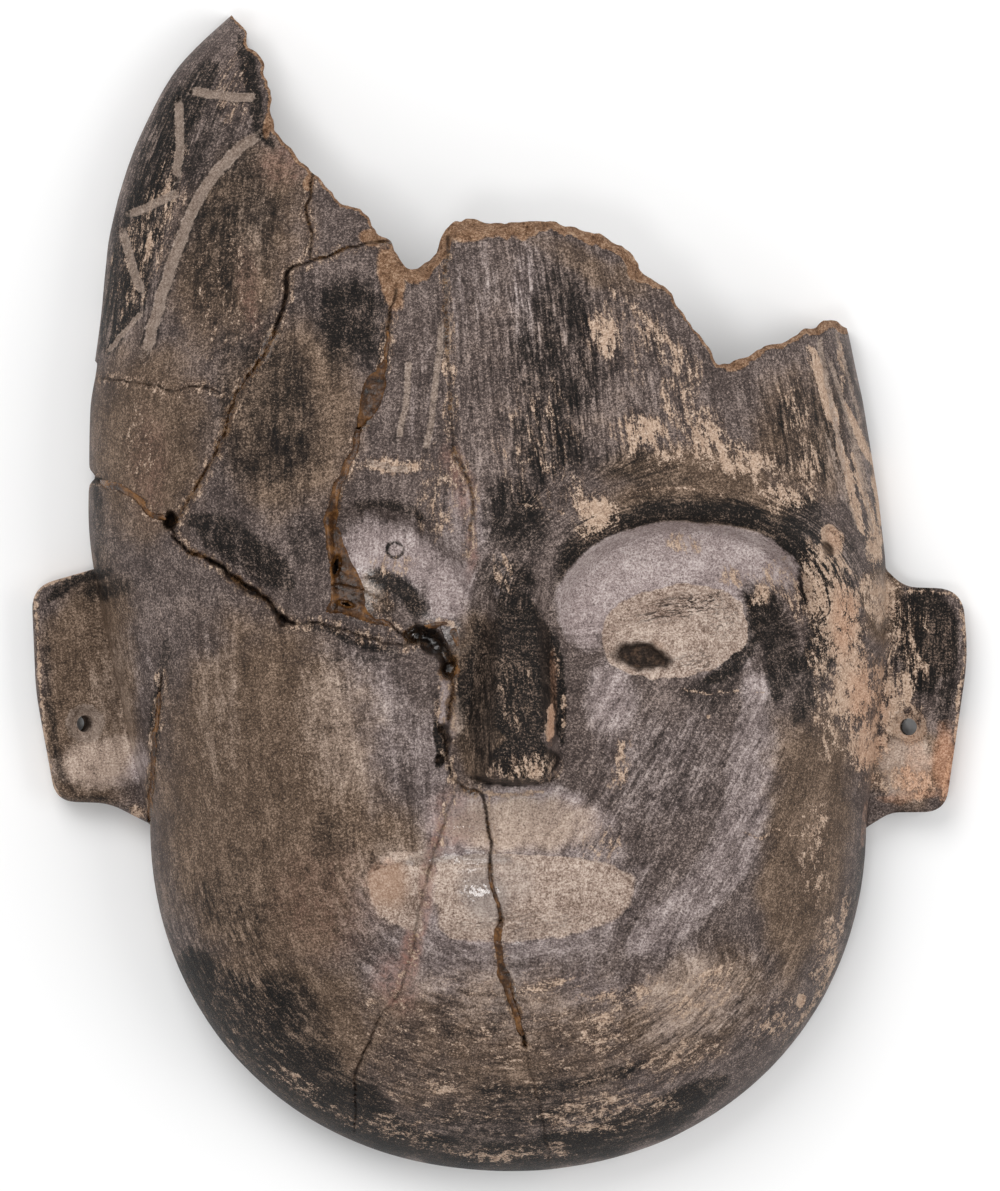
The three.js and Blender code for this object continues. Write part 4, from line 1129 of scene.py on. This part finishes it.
def marks(x, y):
    """How far each point lies in a crack, in glue, on a frayed edge, in a cut and in the painted shade along
    a cut's edges.
    """
    crack, glue, frayed, cut, outline = np.zeros((5, len(x)))
    for i, (name, (width, depth, _, _)) in enumerate(CRACKS.items()):
        d, s, _ = to_path(x, y, CRACK_LINES[name])
        ends = ends_fade(s, 12)
        if depth < SCRATCH_DEPTH:
            frayed = np.maximum(frayed, 0.6 * ends * ease(0.4, 0.1, d))
            continue
        half = crack_half(x, y, width, ends, i)
        deep = min(1, 0.3 + depth / 1.8)
        crack = np.maximum(crack, deep * ease(1.2, 0.5, d / np.maximum(half, 0.36)))
        if name in GLUED:
            shows = GLUED[name] * np.clip(0.6 + 0.9 * noise(x, y, 5, 320 + i), 0, 1.2)
            spill = np.maximum(ease(1.9, 0.8, d / (half + 0.3)), 0.5 * ease(2.6, 0.6, d))
            glue = np.maximum(glue, shows * spill)
            frayed = np.maximum(frayed, 0.42 * ease(2.2, 0.9, d))
    for i, (name, pit) in enumerate(PITS.items()):
        e = in_pit(x, y, i, pit)
        if name in PALE_PITS:
            frayed = np.maximum(frayed, 1.2 * ease(1.2, 0.9, e))
        else:
            crack = np.maximum(crack, min(1, pit[-1] / 2.4) * ease(1.15, 0.7, e))
    for name, (width, depth, _) in INCISED.items():
        d, s, _ = to_path(x, y, CUT_LINES[name])
        ends = ends_fade(s, 16, 0.4)
        # Painted shade along the edges of each cut
        outline = np.maximum(outline, min(1, depth) * ends * ease(2.0, 1.2, d / (width / 2)))
        cut = np.maximum(cut, (1.0 if depth > 0.4 else 0.65) * ends * ease(1.3, 0.8, d / (width / 2)))
    for (cx, cy, _), pale in zip(EAR_HOLES, FUNNEL_PALENESS):
        cut = np.maximum(cut, pale * ease(HOLE_FUNNEL + 0.6, HOLE_FUNNEL - 1, np.hypot(x - cx, y - cy)))
    return crack, glue, frayed, cut, outline


def socket_tones(x, y):
    """The right socket's skin, painted pale with the lilac sheen up to its crisp upper edge and less so in
    the painted shade of its lower right, and the black brow above it.
    """
    e = in_ellipse(x, y, *RIGHT_SOCKET) + 0.03 * noise(x, y, 9, 481) + 0.012 * noise(x, y, 1.6, 482)
    upper = np.maximum(ease(-6, 3, y + 0.1 * x), ease(-26, -12, y) * ease(60, 64, x))
    brow = ease(0.98, 1.03, e) * ease(1.5, 1.04, e) * upper * ease(8, 16, x)
    shaded = ease(48, 55, x + 0.3 * y) * ease(6, -3, y)
    return ease(1.02, 0.97, e) * ease(-16, -4, y) * (1 - shaded), brow


def bare_ovals(x, y):
    """The bare ovals. The left eye's is faint, and a seam splits the mouth's, whose foot is fainter."""
    bed = beds(x, y, 0.03)
    bed = np.where(in_ellipse(x, y, *LEFT_BED) < 1.3, bed * 0.3, bed)
    slit = x + 16 + 0.12 * (y + 63) + 1.2 * noise(x, y, 3, 483)
    bed = bed * (1 - 0.6 * ease(3.4, 1.2, np.abs(slit)) * ease(-54, -58, y))
    return bed * mix(1, 0.72, ease(-66, -74, y) * ease(-52, -56, y))


def store(obj, name, kind, key, values):
    attribute = obj.data.attributes.new(name, kind, "POINT")
    attribute.data.foreach_set(key, values.astype(np.float32).ravel())


def paint(points, kind):
    """Stores the layers as colours at the vertices: each holds four numbers that the material reads."""
    x, y = points[:, 0], points[:, 1]
    face, back = (kind <= SIDE).astype(float), (kind == BACK).astype(float)
    layer = {name: spread(x, y, *data) for name, data in LAYERS.items()}
    crack, glue, frayed, cut, outline = marks(x, y)
    skin, brow = socket_tones(x, y)
    d, s, _ = to_path(x, y, TORN)
    chipped = ease(1.08, 0.85, d / chip_width(x, y, s))
    torn = np.maximum(kind == TORN_WALL, np.maximum(chipped, layer["flaked"]) * face)
    # Soot, with painted shade along the cuts' edges and the darkness of the folds
    soot = np.maximum(layer["soot"], 0.7 * outline * (1 - cut))
    for name, (half, _, darkness, _) in CREASES.items():
        soot = np.maximum(soot, darkness * np.minimum(1, 1.3 * folded(x, y, name, half * 1.25)))
    soot = np.maximum(soot, 1.1 * brow) * (1 - 0.92 * skin * ease(66, 60, x))
    # The lilac sheen, partly painted reflection, held back under the black brow
    sheen = np.maximum(layer["sheen"] * ease(0, 1, 1 - brow), skin)
    # Wear and frayed edges, with the painted highlight and rim reflections of the worn layer
    worn = np.maximum(layer["worn"], frayed)
    brown = layer["brown"] * (1 - 0.9 * skin)
    strokes, grainline, mixing = stroke_field(x, y)
    streaked = np.maximum(PLAIN_STREAKS, layer["streaked"]) * (1 - 0.75 * mixing) * (1 - 0.6 * skin)
    zones = {
        "zone_a": (soot * face, sheen * face, worn * face, brown * face),
        "zone_b": (layer["orange"] * face, bare_ovals(x, y) * face, torn, cut * face),
        "zone_c": (crack * face, glue * face, layer["pink"] * face, back),
        "zone_d": (streaked, layer["gloss"] * face, layer["scratched"] * face, back),
    }
    for name, values in zones.items():
        store(mask, name, "FLOAT_COLOR", "color", np.clip(np.stack(values, 1), 0, 2))
    store(mask, "strokes", "FLOAT_VECTOR", "vector", strokes)
    store(mask, "grainline", "FLOAT_VECTOR", "vector", grainline)


paint(vertices, tags)


# Materials
def linear(r, g, b):
    """A colour from 0 to 255 as seen, as the linear values that a shader takes."""
    part = lambda v: v / 12.92 if v <= 0.04045 else ((v + 0.055) / 1.055) ** 2.4
    return (part(r / 255), part(g / 255), part(b / 255), 1)


class Graph:
    """Short names for the shader nodes used below. Values may be numbers or sockets, and colours may be
    sockets or three numbers from 0 to 255."""

    def __init__(self, name, specular):
        self.material = bpy.data.materials.new(name)
        self.material.use_nodes = True
        self.tree = self.material.node_tree
        self.shader = self.tree.nodes["Principled BSDF"]
        self.shader.inputs["Specular IOR Level"].default_value = specular

    def put(self, socket, value):
        if isinstance(value, bpy.types.NodeSocket):
            self.tree.links.new(value, socket)
        else:
            socket.default_value = value

    def node(self, kind, values=(), **settings):
        """A new node with these values in its first inputs and these settings."""
        node = self.tree.nodes.new("ShaderNode" + kind)
        for setting, value in settings.items():
            setattr(node, setting, value)
        for socket, value in zip(node.inputs, values):
            self.put(socket, value)
        return node

    def math(self, how, *values):
        return self.node("Math", values, operation=how).outputs[0]

    def times(self, *values):
        return functools.reduce(lambda a, b: self.math("MULTIPLY", a, b), values)

    def plus(self, *values):
        return functools.reduce(lambda a, b: self.math("ADD", a, b), values)

    def highest(self, *values):
        return functools.reduce(lambda a, b: self.math("MAXIMUM", a, b), values)

    def ramp(self, value, low, high, to_low=0.0, to_high=1.0, how="SMOOTHSTEP"):
        values = (value, low, high, to_low, to_high)
        return self.node("MapRange", values, interpolation_type=how).outputs[0]

    def frayed(self, amount, noise_socket, weight=1.0):
        """The amount, raised and lowered by a noise round its middle of 0.5."""
        return self.plus(amount, self.times(self.math("SUBTRACT", noise_socket, 0.5), weight))

    def blend(self, share, a, b):
        node = self.node("Mix", data_type="RGBA")
        self.put(node.inputs["Factor"], share)
        for socket, colour in (("A", a), ("B", b)):
            self.put(node.inputs[socket], linear(*colour) if isinstance(colour, tuple) else colour)
        return node.outputs["Result"]

    def mixed(self, *terms):
        """Noises round their middle of 0.5, each with its own weight."""
        total = 0.5 - 0.5 * sum(weight for _, weight in terms)
        for noise_socket, weight in terms:
            total = self.math("MULTIPLY_ADD", noise_socket, weight, total)
        return total

    def three(self, value, low, high, dark, middle, light):
        """A colour that runs from dark through middle to light."""
        centre = (low + high) / 2
        first = self.ramp(value, low, centre, how="LINEAR")
        second = self.ramp(value, centre, high, how="LINEAR")
        return self.blend(second, self.blend(first, dark, middle), light)

    def object_mm(self):
        node = self.node("VectorMath", operation="SCALE")
        self.put(node.inputs[0], self.node("TexCoord").outputs["Object"])
        node.inputs["Scale"].default_value = 1000.0
        return node.outputs[0]

    def stretch(self, vector, turn, scale):
        """Turned by so many degrees round Z, then scaled along each axis."""
        turned = self.node("VectorRotate", rotation_type="Z_AXIS")
        self.put(turned.inputs["Vector"], vector)
        turned.inputs["Angle"].default_value = math.radians(turn)
        return self.node("VectorMath", (turned.outputs[0], scale), operation="MULTIPLY").outputs[0]

    def noise(self, vector, size, detail, rough=0.55, distortion=0.0):
        """Noise from 0 to 1 with lumps of that size in the vector's units."""
        node = self.node("TexNoise")
        names = ("Vector", "Scale", "Detail", "Roughness", "Distortion")
        for name, value in zip(names, (vector, 1 / size, detail, rough, distortion)):
            self.put(node.inputs[name], value)
        return node.outputs["Fac"]

    def attribute(self, name):
        return self.node("Attribute", attribute_name=name)

    def channels(self, name):
        node = self.attribute(name)
        split = self.node("SeparateColor", (node.outputs["Color"],))
        return (*split.outputs[:3], node.outputs["Alpha"])

    def bump(self, height_mm):
        node = self.node("Bump")
        node.inputs["Distance"].default_value = 0.001
        self.put(node.inputs["Height"], height_mm)
        return node.outputs[0]

    def finish(self, **sockets):
        """Fills the shader's sockets, named with _ for a space, and returns the material."""
        for name, value in sockets.items():
            self.put(self.shader.inputs[name.replace("_", " ")], value)
        return self.material


def clay_inputs(g):
    """The painted layers, and the noises and edges that the colour, the gloss and the height share."""
    clay = SimpleNamespace()
    clay.soot, clay.sheen, clay.worn, clay.brown = g.channels("zone_a")
    clay.orange, clay.bed, clay.torn, clay.cut = g.channels("zone_b")
    clay.crack, clay.glue, clay.pink, clay.back = g.channels("zone_c")
    clay.streaked, clay.gloss, clay.scratched, _ = g.channels("zone_d")
    strokes, grainline = (g.attribute(name).outputs["Vector"] for name in ("strokes", "grainline"))
    clay.place = g.object_mm()
    clay.grain = g.noise(clay.place, 0.45, 3, 0.9)
    clay.pepper = g.noise(clay.place, 1.8, 6, 0.8)
    clay.blotch = g.noise(clay.place, 9, 4, 0.6)
    clay.broad = g.noise(g.stretch(strokes, 0, (1, 1 / 7, 1)), 2.8, 3, 0.65)
    drawn = g.noise(g.stretch(strokes, 0, (1, 1 / 9, 1)), 0.75, 3, 0.7, 0.2)
    clay.fine = g.plus(g.times(g.math("SUBTRACT", drawn, 0.5), clay.streaked), 0.5)
    clay.flaky = g.noise(g.stretch(grainline, 0, (1, 1 / 2.4, 1)), 1.8, 7, 0.8, 0.2)
    clay.edge = g.ramp(g.frayed(clay.bed, clay.pepper, 0.9), 0.3, 0.75)
    clay.cut_in = g.ramp(g.frayed(clay.cut, clay.pepper, 1.6), 0.25, 0.75)
    clay.glued = g.ramp(g.frayed(clay.glue, clay.pepper, 1.4), 0.3, 0.75)
    clay.gate = g.times(g.ramp(clay.worn, 0.02, 0.18), g.ramp(clay.fine, 0.37, 0.46, 0.3, 1.0))
    ragged = g.mixed((clay.flaky, 1.7), (clay.fine, 1.1), (clay.grain, 0.6), (clay.pepper, 0.7))
    clay.level = g.plus(g.times(clay.worn, 0.45), ragged)
    clay.wear = g.times(g.ramp(clay.level, 0.765, 0.825), clay.gate)
    return clay


def slip_colour(g, clay):
    """Slip, greyer or browner and streaked by the strokes, with its sheen, which is partly painted
    reflection, its soot and painted shade, and pale specks that are partly sand grains and partly painted
    glints.
    """
    tone = g.mixed(
        (clay.grain, 1.9), (clay.pepper, 0.8), (clay.fine, 1.5), (clay.broad, 0.5), (clay.blotch, 0.6)
    )
    grey = g.three(tone, 0.05, 0.95, (34, 28, 26), (80, 68, 64), (162, 145, 137))
    warm = g.three(tone, 0.05, 0.95, (36, 26, 20), (90, 72, 58), (162, 138, 119))
    warmth = g.ramp(g.frayed(clay.brown, clay.blotch, 0.9), 0.1, 0.8)
    lilac = g.three(tone, 0.0, 1.0, (86, 73, 72), (155, 139, 136), (222, 210, 206))
    tan = g.three(tone, 0.0, 1.0, (98, 82, 72), (170, 148, 133), (226, 207, 191))
    patchy = g.mixed((clay.broad, 0.6), (clay.fine, 0.8), (clay.pepper, 0.7))
    # Where the sheen paints lilac or tan: partly the burnish's own tone, partly painted reflection
    cover = g.ramp(g.frayed(clay.sheen, patchy), 0.1, 0.9)
    colour = g.blend(cover, g.blend(warmth, grey, warm), g.blend(warmth, lilac, tan))
    colour = g.blend(g.times(clay.pink, g.ramp(clay.pepper, 0.38, 0.66, 0.1, 0.85)), colour, (146, 106, 93))
    black = g.three(tone, 0.18, 1.0, (4, 3, 3), (22, 17, 14), (128, 108, 95))
    patchy = g.mixed((clay.broad, -0.6), (clay.fine, -1.0), (clay.pepper, -0.7), (clay.blotch, -0.6))
    # Black where the soot and the painted shade lie
    dark = g.times(g.ramp(g.frayed(clay.soot, patchy), 0.15, 0.85), g.ramp(clay.soot, 0.0, 0.3))
    colour = g.blend(g.times(dark, 0.97), colour, black)
    # Pale specks: partly sand grains, partly painted glints
    specks = g.times(g.ramp(clay.grain, 0.6, 0.67), g.ramp(clay.pepper, 0.46, 0.6, 0.08, 0.6))
    unsooted = g.math("MULTIPLY_ADD", dark, -0.5, 1.0)
    specks = g.times(specks, g.ramp(clay.streaked, 0.2, 0.9, 0.5, 1.0), unsooted)
    colour = g.blend(specks, colour, (182, 158, 139))
    pinholes = g.times(g.ramp(clay.grain, 0.4, 0.33), g.ramp(clay.pepper, 0.56, 0.4, 0.2, 0.8))
    return g.blend(pinholes, colour, (34, 26, 21))


def worn_colour(g, clay, colour):
    """Worn patches, where the slip thins out, then is gone down to the pale or the burnt body; the same pale
    colour also paints the highlight along the cavity's roof and the reflections along the rims.
    """
    chalk = g.mixed((clay.grain, 1.5), (clay.pepper, 1.2))
    thin = g.times(g.ramp(clay.level, 0.64, 0.8), clay.gate, 0.5)
    colour = g.blend(thin, colour, (132, 106, 88))
    body = g.three(chalk, 0.1, 0.9, (126, 101, 84), (180, 153, 132), (220, 197, 177))
    burnt = g.three(chalk, 0.1, 0.9, (140, 90, 64), (192, 141, 108), (226, 182, 154))
    tint = g.times(g.ramp(g.plus(clay.orange, g.times(clay.pepper, 0.8)), 0.75, 1.3), 0.7)
    colour = g.blend(tint, colour, burnt)
    return g.blend(g.times(clay.wear, 0.95), colour, g.blend(clay.orange, body, burnt))


def bare_colour(g, clay, colour):
    """The bare ovals of the eye and the mouth, and the cuts and drilled funnels, rubbed pale."""
    sandy = g.mixed((clay.grain, 2.0), (clay.pepper, 1.4), (clay.blotch, 0.9))
    bare = g.three(sandy, 0.1, 0.9, (96, 77, 66), (168, 146, 132), (220, 202, 188))
    scratch = g.ramp(g.noise(g.stretch(clay.place, -10, (1 / 7, 1, 1)), 0.62, 3, 0.75), 0.5, 0.57)
    bare = g.blend(g.times(scratch, clay.scratched), bare, (58, 47, 42))
    # Painted sheen: the bare ovals lighter and greyer where glossy
    bare = g.blend(g.times(clay.gloss, 0.35), bare, (178, 166, 162))
    bare = g.blend(g.times(clay.orange, 0.8), bare, (186, 148, 120))
    colour = g.blend(clay.edge, colour, bare)
    gritty = g.mixed((clay.grain, 1.5), (clay.pepper, 0.8))
    rubbed = g.three(gritty, 0.1, 0.9, (104, 87, 77), (152, 134, 121), (196, 180, 168))
    return g.blend(g.times(clay.cut_in, 0.8), colour, rubbed)


def broken_colour(g, clay, colour):
    """The torn edge, the plain inside with its sooty cloud, the cracks and the glue that has run out."""
    raw = g.mixed((clay.grain, 1.2), (clay.pepper, 1.6))
    raw = g.three(raw, 0.12, 0.88, (64, 43, 30), (142, 107, 81), (204, 172, 144))
    colour = g.blend(g.ramp(g.frayed(clay.torn, clay.pepper, 1.1), 0.3, 0.7), colour, raw)
    wiped = g.noise(g.stretch(clay.place, 20, (1, 0.12, 1)), 2.2, 4)
    inner = g.mixed((clay.grain, 0.9), (wiped, 1.2), (clay.blotch, 0.8))
    inner = g.three(inner, 0.15, 0.85, (64, 54, 48), (112, 95, 83), (158, 138, 122))
    inner = g.blend(g.times(g.ramp(clay.blotch, 0.5, 0.66), 0.6), inner, (60, 51, 46))
    colour = g.blend(clay.back, colour, inner)
    shadow = g.blend(g.ramp(clay.pepper, 0.45, 0.65), (22, 16, 13), (78, 58, 44))
    colour = g.blend(g.times(clay.crack, 0.95), colour, shadow)
    amber = g.mixed((clay.pepper, 2.0), (clay.grain, 1.0))
    amber = g.three(amber, 0.15, 0.85, (26, 14, 6), (68, 43, 22), (128, 96, 62))
    return g.blend(g.times(clay.glued, 0.85), colour, amber)


def clay_roughness(g, clay):
    """Burnished skin shines softly, bare and torn clay is matt, and glue looks wet."""
    rough = g.frayed(g.ramp(clay.sheen, 0, 1, 0.5, 0.4), clay.grain, 0.7)
    matt = g.highest(clay.wear, clay.edge, clay.torn, clay.back, clay.cut_in)
    shiny = g.plus(g.times(clay.glued, 0.34), g.times(clay.gloss, g.ramp(clay.pepper, 0.4, 0.6, 0.1, 0.5)))
    rough = g.math("SUBTRACT", g.plus(rough, g.times(matt, 0.3)), shiny)
    return g.math("MINIMUM", g.highest(rough, 0.14), 0.95)


def clay_height(g, clay):
    """Height in millimetres of everything too small for the mesh."""
    height = g.plus(g.times(clay.fine, 0.2), g.times(clay.grain, g.ramp(clay.gloss, 0, 1, 0.16, 0.42)))
    height = g.math("SUBTRACT", height, g.times(clay.wear, 0.07))
    coarse = g.plus(g.times(clay.torn, 0.9), g.times(clay.back, 0.3), g.times(clay.bed, 0.22))
    return g.plus(height, g.times(clay.pepper, g.plus(coarse, g.times(clay.gloss, 0.4), 0.16)))


def clay_material():
    g = Graph("burnished_clay", 0.14)
    clay = clay_inputs(g)
    colour = slip_colour(g, clay)
    for layer in (worn_colour, bare_colour, broken_colour):
        colour = layer(g, clay, colour)
    film = g.times(clay.gloss, g.ramp(clay.pepper, 0.36, 0.52))
    # Ripples break a reflection on the glossy film up into many glints
    ripples = g.times(g.noise(clay.place, 1.5, 1, 0.5), 0.1)
    return g.finish(
        Base_Color=colour,
        Roughness=clay_roughness(g, clay),
        Normal=g.bump(clay_height(g, clay)),
        Coat_Weight=g.plus(film, g.times(clay.glued, 0.5)),
        Coat_Roughness=0.1,
        Coat_Normal=g.bump(ripples),
    )


mask.data.materials.append(clay_material())

# Cell of the glue's mesh, how deep its edge and its root lie, and how much of it fills that depth
GLUE_CELL = 0.27
GLUE_SUNK = 0.45
GLUE_ROOT = 2.0
GLUE_FOOT = 0.35


def string(route_name, start, end, half, bulge, seed):
    """Height of a lumpy string of glue along part of a crack, and the box it lies in."""
    line = CRACK_LINES[route_name]
    length = np.sum(np.hypot(*np.diff(line, axis=0).T))

    def height(x, y):
        d, s, _ = to_path(x, y, line)
        taper = np.sqrt(ends_fade((s - start) / (end - start), (end - start) * length / 1.8))
        s = s * length
        lumps = 1 + 0.32 * noise_along(s, 4.2, seed) + 0.12 * noise_along(s, 1.3, seed + 1)
        across = d / np.maximum(half * lumps * taper, 1e-6)
        return (bulge + GLUE_FOOT) * lumps * taper * np.clip(1 - across**2, 0, 1) ** 0.55

    return height, line.min(0) - 2 * half, line.max(0) + 2 * half


def puddle(cx, cy, rx, ry, turn, bulge, seed):
    """Height of a flat lump of glue, and the box it lies in."""

    def height(x, y):
        e = in_ellipse(x, y, cx, cy, rx, ry, turn) + 0.16 * noise(x, y, 2.4, seed)
        return (bulge + GLUE_FOOT) * np.clip(1 - e**2, 0, 1) ** 0.6

    middle, around = np.array([cx, cy]), 1.2 * max(rx, ry)
    return height, middle - around, middle + around


def wedge(corners, edge, bulge, seed):
    """Height of a flat lump of glue with corners [x, y, radius], and the box it lies in."""
    loop = rounded(corners, 0.5)

    def height(x, y):
        d = to_path(x, y, closed(loop))[0]
        d = np.where(inside(x, y, loop), d, 0) * (1 + 0.3 * noise(x, y, 1.8, seed))
        return (bulge + GLUE_FOOT) * np.clip(d / edge, 0, 1) ** 0.6

    return height, loop.min(0) - 0.5, loop.max(0) + 0.5


def glue(seed, *parts, holes=()):
    """Strings and lumps of glue that run into each other: vertices in mm, triangles and thickness."""
    heights, lows, highs = zip(*parts)
    low, high = np.min(lows, 0), np.max(highs, 0)
    x, y = np.meshgrid(*(np.arange(low[k], high[k], GLUE_CELL) for k in (0, 1)), indexing="ij")
    swell = sum(height(x, y) ** 3 for height in heights) ** (1 / 3)
    for hole in holes:
        swell = swell * ease(0.75, 1.2, in_ellipse(x, y, *hole))
    around = lambda cells: cells[:-1, :-1] | cells[1:, :-1] | cells[:-1, 1:] | cells[1:, 1:]
    kept = np.pad(around(swell > 0), 1)
    used = around(kept)
    ids = np.full(x.shape, -1)
    ids[used] = np.arange(np.count_nonzero(used))
    x, y, swell = x[used], y[used], swell[used]
    ground = front_height(x, y, fine=False)
    swell = swell * (1 + 0.16 * noise(x, y, 1.5, seed) + 0.1 * noise(x, y, 0.7, seed + 1))
    levels = (ground - GLUE_SUNK + swell, ground - GLUE_ROOT)
    i, j = np.nonzero(kept)
    i, j = i - 1, j - 1
    corners = [ids[i, j], ids[i + 1, j], ids[i + 1, j + 1], ids[i, j + 1]]
    a, b, c, d = corners
    upper = np.vstack([np.stack([a, b, c], 1), np.stack([a, c, d], 1)])
    rows = [upper, upper[:, ::-1] + len(x)]
    for k, (di, dj) in enumerate(((0, -1), (1, 0), (0, 1), (-1, 0))):
        open_side = ~kept[i + 1 + di, j + 1 + dj]
        p, q = corners[k][open_side], corners[(k + 1) % 4][open_side]
        rows += [np.stack([p + len(x), q + len(x), q], 1), np.stack([p + len(x), q, p], 1)]
    points = np.vstack([np.column_stack([x, y, z]) for z in levels])
    return points, np.vstack(rows), np.concatenate([swell, swell])


def resin_material():
    g = Graph("amber_resin", 0.35)
    place = g.object_mm()
    clouds, grit = g.noise(place, 2.6, 4, 0.6), g.noise(place, 0.6, 3, 0.7)
    thin = g.ramp(g.attribute("thickness").outputs["Fac"], 0.35, 1.5, 0.1, -0.12)
    tone = g.plus(g.mixed((clouds, 1.7), (grit, 0.7)), thin)
    colour = g.three(tone, 0.1, 0.9, (18, 10, 4), (66, 40, 17), (122, 83, 44))
    return g.finish(
        Base_Color=g.blend(g.times(g.ramp(grit, 0.62, 0.7), 0.3), colour, (122, 100, 78)),
        Roughness=g.ramp(g.mixed((grit, 1), (clouds, 1)), 0.3, 0.7, 0.04, 0.2),
        Normal=g.bump(g.plus(g.times(clouds, 0.5), g.times(grit, 0.12))),
    )


# Corners of the glue beside the left eye: x, y and radius
EYE_WEDGE = [
    (-36.9, 14, 1), (-34.8, 15.2, 1), (-33.3, 10.2, 3), (-31.2, 5.5, 5), (-29.1, 1, 3), (-28.8, -3, 2),
    (-25.8, -7.2, 1), (-29.6, -6, 5), (-34, -4.6, 4), (-38.2, -4.2, 0.8), (-36.7, -1.8, 1.5),
]
RESIN = {
    "resin_temple_seam": glue(500, string("temple seam", 0.1, 0.84, 0.75, 0.3, 501)),
    "resin_forehead_bead": glue(
        510,
        puddle(-27.8, 42.6, 2.6, 6.2, -20, 1.4, 511),
        string("eye seam bead", 0.0, 1.0, 1.0, 0.5, 512),
        string("eye seam top", 0.6, 1.0, 0.6, 0.2, 515),
    ),
    "resin_eye_seam": glue(
        520,
        string("eye seam", 0.02, 0.5, 0.95, 0.35, 521),
        string("eye seam", 0.4, 0.85, 1.3, 0.5, 525),
        wedge(EYE_WEDGE, 1.6, 0.8, 530),
        string("under lid", 0.0, 0.6, 0.7, 0.15, 540),
        puddle(-13.4, -6.9, 3.2, 0.9, 4, 0.35, 560),
        puddle(-9.7, -9.6, 1.5, 3.3, 14, 0.35, 565),
        puddle(-9.1, -17.6, 0.7, 2.2, -8, 0.3, 570),
        holes=[PITS[name][:5] for name in ("seam pit", "seam pit upper")],
    ),
    "resin_chin_seam": glue(
        580,
        string("chin", 0.02, 0.55, 1.3, 0.45, 581),
        string("chin", 0.45, 0.92, 0.85, 0.35, 585),
        string("mouth", 0.6, 1.0, 0.55, 0.2, 590),
    ),
    "resin_ear_seam": glue(595, string("ear", 0.12, 0.97, 0.55, 0.3, 596)),
}
amber_resin = resin_material()
for name, (points, triangles, thickness) in RESIN.items():
    piece = make_mesh(name + "_glue", points, triangles)
    store(piece, "thickness", "FLOAT", "value", thickness)
    piece.data.materials.append(amber_resin)
    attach(piece, "root")
    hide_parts(name)

# Camera: the photograph looks square on to the face, so this one looks straight down at it.
MM_PER_PIXEL = 0.22
IMAGE_HEIGHT = 1191
MIDDLE_ROW = 592.5
SENSOR = 36
DISTANCE = 3.0
SCALE_LEVEL = 0.01
data = bpy.data.cameras.new("camera")
data.sensor_width = SENSOR
data.lens = SENSOR * (DISTANCE - SCALE_LEVEL) / (IMAGE_HEIGHT * MM_PER_PIXEL / 1000)
data.clip_end = 50
camera = add_object("camera", data)
camera.location = (0, (MIDDLE_ROW - IMAGE_HEIGHT / 2) * MM_PER_PIXEL / 1000, DISTANCE)
bpy.context.scene.camera = camera

# Floor, a hair under the rim
FLOOR_HALF = 3.0
FLOOR_LEVEL = -0.0003
floor_mesh = bpy.data.meshes.new("floor")
corners = [(sx * FLOOR_HALF, sy * FLOOR_HALF, 0) for sx, sy in ((-1, -1), (1, -1), (1, 1), (-1, 1))]
floor_mesh.from_pydata(corners, [], [(0, 1, 2, 3)])
floor = add_object("floor", floor_mesh)
floor.location.z = FLOOR_LEVEL
paper = Graph("paper", 0.5)
floor_mesh.materials.append(paper.finish(Base_Color=(0.9, 0.9, 0.9, 1), Roughness=0.9))

# Light
LIT_POINT = Vector((0, 0, 0.03))
world = bpy.data.worlds.new("studio")
world.use_nodes = True
background = world.node_tree.nodes["Background"]
background.inputs["Color"].default_value = (1, 1, 1, 1)
background.inputs["Strength"].default_value = 0.6
bpy.context.scene.world = world
bpy.context.scene.view_settings.view_transform = "Standard"


def softbox(name, place, size, power):
    light = bpy.data.lights.new(name, "AREA")
    light.shape = "SQUARE"
    light.size = size
    light.energy = power
    obj = add_object(name, light)
    obj.location = place
    obj.rotation_mode = "QUATERNION"
    obj.rotation_quaternion = (LIT_POINT - Vector(place)).to_track_quat("-Z", "Y")


softbox("key", (-0.5, 0.9, 1.5), 1.1, 14.2)
softbox("fill", (1.1, 0.0, 1.1), 0.9, 7)
softbox("glint", (-0.22, -0.3, 1.75), 0.3, 3.6)
